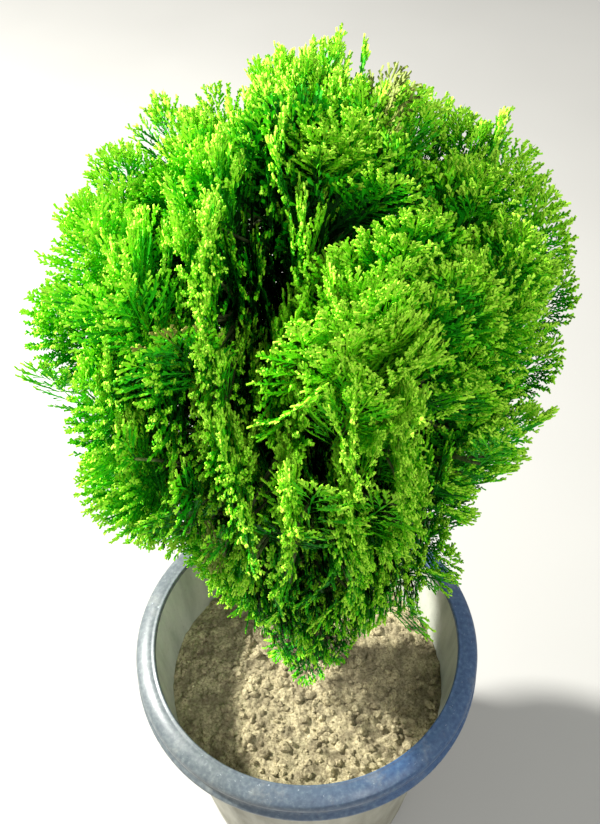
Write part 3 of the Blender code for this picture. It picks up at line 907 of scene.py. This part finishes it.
def add_spray(store, rule, spray, light_and_vigour, mass, coarse=1.0, dead=False):
    """One spray's shoots, dealt out to the colours' stores."""
    length = spray.length
    shoots = spray_shoots(rule, length, SPRAY_BROAD * length, coarse)
    points = shoot_shells(shoots, length, rule, spray.frame, coarse)
    kept = ((points > SHOOT_BOX[0]) & (points < SHOOT_BOX[1])).all(axis=(1, 2))
    out = np.minimum([shoot.out for shoot in shoots], 1)
    # Darker from rim to root: real golden tips over green, and painted shade on the flanks. Darker still
    # where light and vigour are low
    rim = np.clip((RIM_ZONE[1] - out) / (RIM_ZONE[1] - RIM_ZONE[0]), 0, 1)
    tone = flank_tone(spray, coarse) * rim**0.85 + LIGHT_AND_VIGOUR_TONE * (1 - light_and_vigour)
    tone += np.array([rule.gauss(*SHOOT_TONE) for _ in shoots])
    kinds = np.clip(tone.astype(int), 0, len(LADDER) - 1)
    bronze = rule.random() < BRONZE_SHARE
    detail = np.array([shoot.corners if coarse <= CORNERS_COARSE else 4 for shoot in shoots])
    for kind, corners in itertools.product(np.unique(kinds), np.unique(detail)):
        name = LADDER[kind]
        if dead:
            name = "withered"
        elif bronze and kind == kinds.min():
            name = "bronze"
        chosen = points[kept & (kinds == kind) & (detail == corners)]
        if len(chosen):
            store[name].append((chosen[:, SHELL_POINTS[corners]], mass))


def store_pieces(store):
    """Each colour's shoots as pieces, a new one wherever one has its triangles."""
    for name, groups in store.items():
        material = leaf_material(name)
        pieces = {}
        count = 0
        for points, mass in groups:
            corners = points.shape[1]
            triangles = SHELL_TRIANGLES[corners] + corners * np.arange(len(points))[:, None, None]
            parts, nodes = pieces.setdefault(count // PIECE_TRIANGLES, ([], set()))
            parts.append((points.reshape(-1, 3), triangles.reshape(-1, 3)))
            nodes.add(f"foliage_{mass}")
            count += len(parts[-1][1])
        for number, (parts, nodes) in enumerate(pieces.values(), 1):
            piece(f"shoots_{name}_{number}", *joined(parts), [material], "foliage", sorted(nodes))


class Surface:
    """A material of nodes. What feeds a node is a socket or a plain value."""

    def __init__(self, name):
        self.material = bpy.data.materials.new(name)
        self.material.use_nodes = True
        self.tree = self.material.node_tree
        self.shader = self.tree.nodes["Principled BSDF"]
        self.place = self.scaled(1, 1, 1)

    def fill(self, socket, value):
        if isinstance(value, bpy.types.NodeSocket):
            self.tree.links.new(value, socket)
        else:
            socket.default_value = value

    def node(self, kind, output, inputs, **settings):
        made = self.tree.nodes.new(f"ShaderNode{kind}")
        for key, value in settings.items():
            setattr(made, key, value)
        for key, value in inputs.items():
            self.fill(made.inputs[key], value)
        return made.outputs[output]

    def scaled(self, *scale):
        place = self.node("TexCoord", "Object", {})
        return self.node("Mapping", "Vector", {"Vector": place, "Scale": scale})

    def noise(self, scale, detail=4.0, roughness=0.55, place=None):
        inputs = {"Vector": place or self.place, "Scale": scale, "Detail": detail, "Roughness": roughness}
        return self.node("TexNoise", "Fac", inputs)

    def ramp(self, source, stops):
        made = self.tree.nodes.new("ShaderNodeValToRGB")
        elements = made.color_ramp.elements
        while len(elements) < len(stops):
            elements.new(0.5)
        for element, (place, colour) in zip(elements, stops):
            element.position = place
            element.color = linear(*colour)
        self.fill(made.inputs["Fac"], source)
        return made.outputs["Color"]

    def fit(self, source, *limits):
        """A value from one range to another, 0 to 1 if none is given."""
        return self.node("MapRange", "Result", dict(enumerate((source, *limits))))

    def mixed(self, share, first, second, blend="MIX"):
        if isinstance(second, tuple):
            second = linear(*second)
        return self.node("Mix", 2, {0: share, 6: first, 7: second}, data_type="RGBA", blend_type=blend)

    def finish(self, colour, roughness, *relief):
        self.fill(self.shader.inputs["Base Color"], colour)
        self.fill(self.shader.inputs["Roughness"], roughness)
        if relief:
            inputs = dict(zip(("Height", "Strength", "Distance"), relief))
            self.fill(self.shader.inputs["Normal"], self.node("Bump", "Normal", inputs))
        return self.material


def leaf_material(name):
    """Scaly shoots of one plain colour, with a waxy sheen that varies."""
    leaf = Surface(f"shoots_{name}")
    leaf.shader.inputs["Specular IOR Level"].default_value = 0.20
    scales = leaf.node("TexVoronoi", "Distance", {"Vector": leaf.place, "Scale": 700})
    sheen = leaf.fit(leaf.noise(160), 0.3, 0.7, 0.48, 0.72)
    return leaf.finish(linear(*COLOURS[name]), sheen, scales, 0.5, 0.0005)


def bark_material(name, stops, scale):
    """Stringy bark with blotches."""
    bark = Surface(name)
    strands = bark.noise(3.2, 8, 0.62, bark.scaled(scale, scale, 0.18 * scale))
    blotches = bark.fit(bark.noise(55, 3), 0.42, 0.66)
    colour = bark.mixed(blotches, bark.ramp(strands, stops), stops[1][1], "MULTIPLY")
    return bark.finish(colour, bark.fit(strands, 0.2, 0.8, 0.92, 0.72), strands, 0.8, 0.0012)


def rim_material():
    """Blue plastic, paler on the sunny side from bleach, dust and painted sun glare, with pale scuffs and
    specks.
    """
    rim = Surface("rim_plastic")
    x, y, _ = rim.node("SeparateXYZ", 0, {"Vector": rim.place}).node.outputs
    fine = rim.noise(260, 6, 0.6)
    shifted = rim.node("Math", 0, {0: rim.noise(9, 5), 1: 0.16, 2: x}, operation="MULTIPLY_ADD")
    # Paler to the left and the front: real bleach and dust, and a painted highlight of the sun's glare
    pale_side = rim.node("Math", 0, {0: y, 1: 0.12, 2: shifted}, operation="MULTIPLY_ADD")
    glare_and_bleach = rim.fit(pale_side, 0.140, 0.0)
    colour = rim.mixed(glare_and_bleach, rim.ramp(fine, RIM_BLUE), rim.ramp(fine, RIM_PALE))
    scuffs = rim.fit(rim.noise(210, 3, 0.8, rim.scaled(1, 1, 9)), 0.66, 0.74, 0, 0.75)
    colour = rim.mixed(scuffs, colour, RIM_SCUFF)
    dust = rim.noise(34, 7, 0.7)
    colour = rim.mixed(rim.fit(dust, 0.56, 0.72, 0, 0.3), colour, RIM_DUST)
    return rim.finish(colour, rim.fit(dust, 0.35, 0.7, 0.30, 0.58), fine, 0.18, 0.0006)


def wall_material():
    """The pot's wall: pale plastic under lime in streaks, darker outside with dried mud and painted shade."""
    wall = Surface("wall_plastic")
    streaks = wall.noise(46, 6, 0.62, wall.scaled(1, 1, 0.22))
    stains = wall.noise(15, 6, 0.6)
    grains = wall.noise(330, 3, 0.6)
    colour = wall.mixed(wall.fit(stains, 0.48, 0.76, 0, 0.4), wall.ramp(streaks, WALL), WALL_STAIN)
    colour = wall.mixed(wall.fit(grains, 0.6, 0.72, 0, 0.35), colour, WALL_GRAIN)
    normal = wall.node("TexCoord", "Normal", {})
    facing = wall.node("VectorMath", "Value", {0: normal, 1: wall.place}, operation="DOT_PRODUCT")
    # Darker on the outside: dried mud, and painted shade under the rim
    outside = wall.fit(facing, -0.02, 0.02, 0, 0.8)
    colour = wall.mixed(outside, colour, wall.ramp(streaks, WALL_MUD_AND_SHADE))
    return wall.finish(colour, wall.fit(stains, 0.3, 0.7, 0.45, 0.8), grains, 0.25, 0.0006)


def soil_material(name, lift=1.0):
    """Dry sandy soil."""
    soil = Surface(name)
    grains = soil.noise(420, 5, 0.7)
    stops = [(place, [round(part * lift) for part in colour]) for place, colour in SOIL]
    # Darker random patches: painted shade of the soil's hollows
    hollows = soil.fit(soil.noise(60, 5, 0.6), 0.42, 0.58, 0.6, 0)
    colour = soil.mixed(hollows, soil.ramp(grains, stops), SOIL_HOLLOW_SHADE)
    colour = soil.mixed(soil.fit(soil.noise(14, 3), 0.45, 0.7, 0, 0.25), colour, SOIL_DAMP)
    return soil.finish(colour, soil.fit(grains, 0.3, 0.7, 0.98, 0.82), grains, 0.9, 0.0012)


def floor_material():
    floor = Surface("studio_floor")
    shade = floor.noise(1.4, 3)
    return floor.finish(floor.ramp(shade, STUDIO_FLOOR), floor.fit(shade, 0.3, 0.7, 0.85, 0.95))


def strands(turns, height, relief, seed=0):
    """The relief of stringy bark round a limb."""
    depth, fine, along, octaves = relief
    spots = [(fine * math.cos(turn) + seed, fine * math.sin(turn), along * height) for turn in turns]
    return depth * np.array([noise.fractal(spot, 0.9, 2.1, octaves) for spot in spots])


def make_trunk(bark):
    """The trunk with the relief of stringy bark."""
    shares = [(index / (TRUNK_RINGS - 1)) ** 1.25 for index in range(TRUNK_RINGS)]
    centres = [trunk_point(share) for share in shares]
    radii = [trunk_radius(share) for share in shares]

    def relief(index, turns):
        height = centres[index].z - centres[0].z
        lobes = FLARE_LOBE * math.exp(-height / FLARE_HEIGHT) * np.cos(FLARE_LOBES * turns)
        if height >= 2 * FLARE_HEIGHT:
            lobes = 0 * turns
        return lobes + strands(turns, height, TRUNK_RELIEF) - 0.03

    points, triangles = tube(centres, radii, TRUNK_SIDES, relief)
    points[:, 2] = np.maximum(points[:, 2], TRUNK_FOOT.z)
    piece("trunk_bark", points, triangles, [bark], "bark", ["trunk"])


def make_boughs(bark, crown):
    """Every bough, from in the trunk's bark to the end of its mass's stem."""
    parts = []
    for mass in crown[:-1]:
        path, radii = bough_path(mass, BOUGH_RINGS)
        path += [mass.stem[1].lerp(path[-1], 1 - share) for share in STEM_SHARES]
        radii += [mix((BOUGH_TIP_RADIUS, STEM_TIP_RADIUS), share) for share in STEM_SHARES]

        def relief(index, turns, path=path, seed=mass.seed):
            return strands(turns, path[index].length, BOUGH_RELIEF, seed)

        parts.append(tube(path, radii, BOUGH_SIDES, relief))
    piece("boughs_bark", *joined(parts), [bark], "bark", [f"bough_{mass.name}" for mass in crown[:-1]])


def twig_tube(start, end, rule):
    """One twig that leaves the stem and turns up into its spray."""
    sag = Vector((rule.uniform(-1, 1), rule.uniform(-1, 1), -0.6))
    middle = start.lerp(end, 0.5) + sag * 0.08 * (end - start).length
    points = []
    radii = []
    for index, share in enumerate(TWIG_RINGS):
        points.append(start * (1 - share) ** 2 + middle * 2 * share * (1 - share) + end * share**2)
        radii.append(mix((TWIG_RADIUS, TWIG_END_RADIUS), index / (len(TWIG_RINGS) - 1)))
    return tube(points, radii, TWIG_SIDES)


def turned(profile, sides, wobble):
    """A profile from pole to pole turned round Z, closed and with its bottom last."""
    turns = np.arange(sides) * 2 * math.pi / sides
    rings = []
    for radius, height in profile[1:-1]:
        ring = np.stack([radius * np.cos(turns), radius * np.sin(turns), np.full(sides, height)], axis=1)
        rings.append(ring + wobble(height, turns))
    points = np.concatenate([[(0, 0, profile[0][1])], *rings, [(0, 0, profile[-1][1])]])
    return points, ring_triangles(len(rings), sides)[:, ::-1]


def steps_from(radius, height, steps):
    return [(radius + out, height + up) for out, up in steps]


def pot_profile():
    """The pot's section with rounded edges, and which of its points belong to the rim."""
    lip_edge = POT_HEIGHT - LIP_DROP
    under_lip = lip_edge - LIP_THICKNESS
    inner = [(0, POT_FLOOR)]
    inner += [(radius, POT_FLOOR) for radius in (*FLOOR_RINGS, pot_inner_radius(POT_FLOOR) - 0.002)]
    low = POT_FLOOR + 0.0015
    for step in range(INNER_RINGS):
        height = low + (POT_HEIGHT - 0.004 - low) * step / (INNER_RINGS - 1)
        inner.append((pot_inner_radius(height), height))
    rim = steps_from(MOUTH_RADIUS, POT_HEIGHT, MOUTH_STEPS)
    start, height = rim[-1]
    for step in range(1, LIP_RINGS):
        share = step / LIP_RINGS
        rim.append((mix((start, RIM_RADIUS), share), height - (LIP_DROP - 0.0026) * share**2.2))
    rim += steps_from(RIM_RADIUS, lip_edge, EDGE_STEPS)
    rim += steps_from(RIM_RADIUS, lip_edge - SKIRT_DEPTH, BEAD_STEPS)
    rim += steps_from(RIM_RADIUS, under_lip, UNDER_STEPS)
    outer = [(pot_outer_radius(under_lip) + 0.001, under_lip)]
    high = under_lip - 0.001
    for step in range(OUTER_RINGS):
        height = high - (high - POT_FOOT_BEVEL) * step / (OUTER_RINGS - 1)
        outer.append((pot_outer_radius(height), height))
    outer.append((POT_BASE_RADIUS - 0.3 * POT_FOOT_BEVEL, 0.3 * POT_FOOT_BEVEL))
    outer += [(radius, 0) for radius in (POT_BASE_RADIUS - POT_FOOT_BEVEL, *FLOOR_RINGS[::-1], 0)]
    return inner + rim + outer, len(inner), len(inner) + len(rim)


def pot_wobble(height, turns):
    """How far the pot is out of true: a little oval and uneven up its wall, with a dipping rim."""
    if height < 0.02:
        return np.zeros((len(turns), 3))
    lean = (0.0004 * np.sin(2 * turns + 0.7) + 0.0002 * np.sin(5 * turns)) * height / POT_HEIGHT
    dip = 0.0003 * np.sin(3 * turns + 1.1) * (height > 0.23)
    return np.stack([lean * np.cos(turns), lean * np.sin(turns), dip], axis=1)


def make_pot():
    """The turned pot with its drain holes."""
    profile, rim_from, rim_to = pot_profile()
    points, triangles = turned(profile, POT_SIDES, pot_wobble)
    ring = np.where(triangles.min(axis=1) == 0, 0, (triangles.max(axis=1) - 1) // POT_SIDES)
    in_rim = ((ring >= rim_from - 1) & (ring <= rim_to - 1)).astype(int)
    materials = [wall_material(), rim_material()]
    pot = piece("pot_turned", points, triangles, materials, "pot_body", ["pot"], in_rim)
    for index in range(DRAIN_HOLES):
        turn = 2 * math.pi * (index + 0.5) / DRAIN_HOLES
        place = (DRAIN_CIRCLE * math.cos(turn), DRAIN_CIRCLE * math.sin(turn), 0)
        bpy.ops.mesh.primitive_cylinder_add(radius=DRAIN_RADIUS, depth=6 * POT_FLOOR, location=place)
        cutter = bpy.context.object
        hole = pot.modifiers.new(f"Drain {index + 1}", "BOOLEAN")
        hole.operation = "DIFFERENCE"
        hole.solver = "MANIFOLD"
        hole.object = cutter
        bpy.context.view_layer.objects.active = pot
        bpy.ops.object.modifier_apply(modifier=hole.name)
        bpy.data.objects.remove(cutter)
    pot.data.set_sharp_from_angle(angle=math.radians(42))


def soil_height(radius):
    edge_radius = pot_inner_radius(SOIL_TOP - SOIL_SINK) - 2 * GAP
    share = max(0.0, (radius - SOIL_FLAT_RADIUS) / (edge_radius - SOIL_FLAT_RADIUS))
    return SOIL_TOP - SOIL_SINK * share**2


def trunk_distance(x, y):
    return math.hypot(x - TRUNK_FOOT.x, y - TRUNK_FOOT.y)


def soil_relief(x, y):
    """The height that clods and hollows add to the soil, in metres."""
    spot = Vector((x, y, 0.0))
    rolling = noise.fractal(spot * 22, 1.0, 2.0, 3)
    rough = noise.fractal(spot * 150, 0.7, 2.1, 4)
    clods = noise.voronoi(spot * 75 + Vector((0.3 * rough, 0.3 * rolling, 0)))[0]
    lumps = noise.voronoi(spot * 190)[0]
    height = 0.0020 * rolling + 0.0011 * rough
    height += 0.0056 * min(clods[1] - clods[0], 0.5) + 0.0032 * (0.4 - lumps[0]) - 0.0014
    return height * min(max((trunk_distance(x, y) - SOIL_LEVEL[0]) / SOIL_LEVEL[1], 0), 1)


def circle(radius, sides):
    turns = [2 * math.pi * step / sides for step in range(sides)]
    return [(radius * math.cos(turn), radius * math.sin(turn)) for turn in turns]


def make_soil():
    """The soil with clods and hollows, closed below as the solid is."""
    edge = pot_inner_radius(SOIL_TOP - SOIL_SINK) + 0.0006
    points = [(0, 0, SOIL_TOP)]
    for ring in range(1, SOIL_RINGS + 1):
        radius = edge * ring / SOIL_RINGS
        level = soil_height(min(radius, edge - 0.001))
        points += [(x, y, level + soil_relief(x, y)) for x, y in circle(radius, SOIL_SIDES)]
    floor = POT_FLOOR + GAP
    for height in (SOIL_TOP - SOIL_SINK - 0.006, floor):
        points += [(x, y, height) for x, y in circle(pot_inner_radius(height) - 3 * GAP, SOIL_SIDES)]
    points.append((0, 0, floor))
    triangles = ring_triangles(SOIL_RINGS + 2, SOIL_SIDES)[:, ::-1]
    piece("soil_surface", points, triangles, [soil_material("dry_soil")], "soil", ["soil"])
    make_crumbs(edge - 0.003)


def make_crumbs(edge):
    """Loose crumbs on the soil, clear of the trunk."""
    crumbs = []
    rule = random.Random(CRUMB_SEED)
    balls = [ball_mesh(1), ball_mesh(2)]
    while len(crumbs) < CRUMBS:
        radius = edge * math.sqrt(rule.random())
        turn = rule.uniform(0, 2 * math.pi)
        x, y = radius * math.cos(turn), radius * math.sin(turn)
        if trunk_distance(x, y) < CRUMB_CLEAR:
            continue
        size = mix(CRUMB_SIZE, rule.random() ** 2.6)
        ball, faces = balls[size > 0.0021]
        shape = np.array([rule.uniform(*limits) for limits in CRUMB_SHAPE]) * size
        spin = Matrix.Rotation(rule.uniform(0, 6.3), 3, "Z")
        spin = np.array(spin @ Matrix.Rotation(spread(rule, 0.4), 3, "X"))
        shift = Vector((rule.uniform(0, 90), 0, 0))
        lumps = np.array([noise.noise(Vector(point) * 1.4 + shift) for point in ball])
        grown = ball * (1 + 0.5 * lumps)[:, None]
        rest = soil_height(radius) + soil_relief(x, y) + 0.3 * size
        crumbs.append(((grown * shape) @ spin.T + (x, y, rest), faces))
    material = soil_material("soil_crumbs", CRUMBS_LIFT)
    piece("soil_crumbs", *joined(crumbs), [material], "soil", smooth=False)


def ball_mesh(fineness):
    bpy.ops.mesh.primitive_ico_sphere_add(subdivisions=fineness, radius=1.0)
    ball = bpy.context.object
    points = np.array([vertex.co[:] for vertex in ball.data.vertices])
    faces = np.array([polygon.vertices[:] for polygon in ball.data.polygons])
    bpy.data.objects.remove(ball)
    return points, faces


def grow(grown, rule, spray, light_and_vigour, name, start, root=None, coarse=1.0, dead=False):
    """One spray's shoots, and its twig."""
    add_spray(grown.shoots, rule, spray, light_and_vigour, name, coarse, dead)
    root = root or spray.frame @ Vector((TWIG_IN, 0, 0))
    grown.twigs.append(twig_tube(start, root, rule))


def mass_plumes(mass, rule):
    """A mass's own sprays, each alone or with a twin, its plumes and its core."""
    tier = mass.name.split("_")[0]
    plumes = []
    for spray in own_sprays(mass):
        tip, facing = spray_tip(spray)
        spray = spray._replace(behind=in_columns(facing, tip.z))
        plumes.append([spray])
        if spray.frame.col[0].z > TWIN_RISE and not spray.behind:
            plumes[-1].append(twin(spray, rule, rule.choice((-1, 1))))
    for spray in added_sprays(mass, rule, PLUMES[tier], PLUME_DEPTHS):
        plumes.append([spray, twin(spray, rule, -1), twin(spray, rule, 1)])
    return plumes + [[spray] for spray in added_sprays(mass, rule, CORE_SPRAYS[tier], CORE_DEPTHS)]


def grow_mass(grown, mass):
    """A mass's sprays. Each twig leaves the nearest older one or stem below its spray."""
    rule = random.Random(FIRST_SPRAY_SEED + mass.seed)
    plumes = mass_plumes(mass, rule)
    carriers = [mass.stem[0].lerp(mass.stem[1], share) for share in STEM_CARRIERS]
    healths = [spread(rule, HEALTH) for _ in plumes]
    for spray, health in [(spray, health) for plume, health in zip(plumes, healths) for spray in plume]:
        root = spray.frame @ Vector((TWIG_IN_SHARE * spray.length, 0, 0))
        height = (spray_tip(spray)[0].z - CROWN_FOOT) / (CROWN_TOP - CROWN_FOOT)
        # Higher sprays are painted lighter and deeper ones darker as painted shade; health is random tone
        light_and_vigour = 0.88 + 0.14 * height + health - 2.4 * (1 - spray.depth)
        coarse = SECOND_COARSE if spray.depth < SECOND_DEPTH or spray.behind else 1.0
        # Sprays deep in the core are painted in shade
        if spray.depth < CORE_DEPTH:
            light_and_vigour = CORE_SHADE
            coarse = CORE_COARSE
        # Painted shade for sprays behind the column pages
        if spray.behind:
            light_and_vigour -= BEHIND_SHADE
        leave = spray.leave
        if leave is None:
            below = [point for point in carriers if point.z < root.z + CARRIER_ABOVE] or carriers
            leave = min(below, key=lambda point: (point - root).length)
        grow(grown, rule, spray, min(light_and_vigour, MOST_LIGHT_AND_VIGOUR), mass.name, leave, root, coarse)
        carriers += [leave.lerp(root, share) for share in TWIG_CARRIERS]


def grow_fills(grown, stems):
    """Plumes where the masses leave the crown thin."""
    for name, azimuth, width, low, high, count in FILLS:
        rule = random.Random(f"{name} {azimuth}")
        zone = SimpleNamespace(azimuth=azimuth, width=width, low=low, high=high)
        for spray in added_sprays(zone, rule, count, PLUME_DEPTHS):
            for part in (spray, twin(spray, rule, -1), twin(spray, rule, 1)):
                grow(grown, rule, part, FILL_LIGHT_AND_VIGOUR, name, stems[name][1])


def grow_ribbons(grown, stems):
    """Rows of bright sprays that show their edge at the front."""
    rule = random.Random(RIBBON_SEED)
    for upper, lower, count in RIBBONS:
        for index in range(count):
            tip = crown_point(*upper).lerp(crown_point(*lower), index / (count - 1))
            turns = [rule.uniform(*limits) for limits in RIBBON_TURNS]
            length = rule.uniform(*RIBBON_LENGTH)
            spray = Spray(spray_frame(tip, length, *turns), length, column=True)
            root = spray.frame @ Vector((TWIG_IN, 0, 0))
            name = min(stems, key=lambda name: (stems[name][1] - root).length)
            for part in (spray, twin(spray, rule, rule.choice((-1, 1)))):
                grow(grown, rule, part, RIBBON_LIGHT_AND_VIGOUR, name, stems[name][1])


def grow_skirt(grown, stems):
    """Drooping sprays under the front, and the withered ones."""
    rule = random.Random(SKIRT_SEED)
    for azimuth, radius, height in SKIRT_SPRAYS:
        turns = (azimuth, rule.uniform(*SKIRT_RISE), rule.uniform(*SKIRT_PAGE))
        frame = spray_frame(crown_point(azimuth, radius, height), SKIRT_LENGTH, *turns)
        grow(grown, rule, Spray(frame, SKIRT_LENGTH), SKIRT_LIGHT_AND_VIGOUR, SKIRT_MASS, stems[SKIRT_MASS][0])
    for name, azimuth, radius, height, length, page in WITHERED_SPRAYS:
        frame = spray_frame(crown_point(azimuth, radius, height), length, azimuth, WITHERED_RISE, page)
        spray = Spray(frame, length)
        grow(grown, rule, spray, WITHERED_LIGHT_AND_VIGOUR, name, stems[name][1], coarse=WITHERED_COARSE, dead=True)


def make_crown(crown, twig_bark):
    """Every spray with its twig, as pieces."""
    grown = SimpleNamespace(shoots={name: [] for name in COLOURS}, twigs=[])
    stems = {mass.name: mass.stem for mass in crown}
    for mass in crown:
        grow_mass(grown, mass)
    grow_fills(grown, stems)
    grow_ribbons(grown, stems)
    grow_skirt(grown, stems)
    piece("twigs", *joined(grown.twigs), [twig_bark], "bark")
    store_pieces(grown.shoots)


def make_camera():
    """The photograph's camera."""
    camera = placed("camera", bpy.data.cameras.new("camera"))
    tilt = Matrix.Rotation(math.radians(90 - CAMERA_PITCH), 4, "X") @ Matrix.Rotation(CAMERA_ROLL, 4, "Z")
    camera.matrix_world = Matrix.Translation(CAMERA_PLACE) @ tilt
    camera.data.lens = FOCAL_PIXELS * SENSOR / PHOTO_HEIGHT
    camera.data.sensor_width = SENSOR
    bpy.context.scene.camera = camera


def area_light(name, place, aim, size, watts, colour):
    light = bpy.data.lights.new(name, "AREA")
    light.shape = "DISK"
    light.size = size
    light.energy = watts
    light.color = colour
    obj = placed(name, light)
    obj.location = place
    obj.rotation_euler = (Vector(aim) - Vector(place)).to_track_quat("-Z", "Y").to_euler()


def make_studio():
    """A plain pale floor, an even sky and the lamps."""
    mesh = bpy.data.meshes.new("studio_floor")
    corners = [(-1, -1), (1, -1), (1, 1), (-1, 1)]
    mesh.from_pydata([(FLOOR_HALF * x, FLOOR_HALF * y, 0) for x, y in corners], [], [(0, 1, 2, 3)])
    mesh.materials.append(floor_material())
    placed("studio_floor", mesh)
    world = bpy.data.worlds.new("studio")
    world.use_nodes = True
    sky = world.node_tree.nodes["Background"].inputs
    sky["Color"].default_value = SKY
    sky["Strength"].default_value = SKY_STRENGTH
    bpy.context.scene.world = world
    for lamp in LAMPS:
        area_light(*lamp)
    bpy.context.scene.view_settings.view_transform = "Standard"


def main():
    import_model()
    make_camera()
    make_studio()
    make_pot()
    make_soil()
    bark = bark_material("bark", BARK, BARK_SCALE)
    make_trunk(bark)
    crown = masses()
    make_boughs(bark, crown)
    make_crown(crown, bark_material("twig_bark", TWIG_BARK, TWIG_BARK_SCALE))


main()
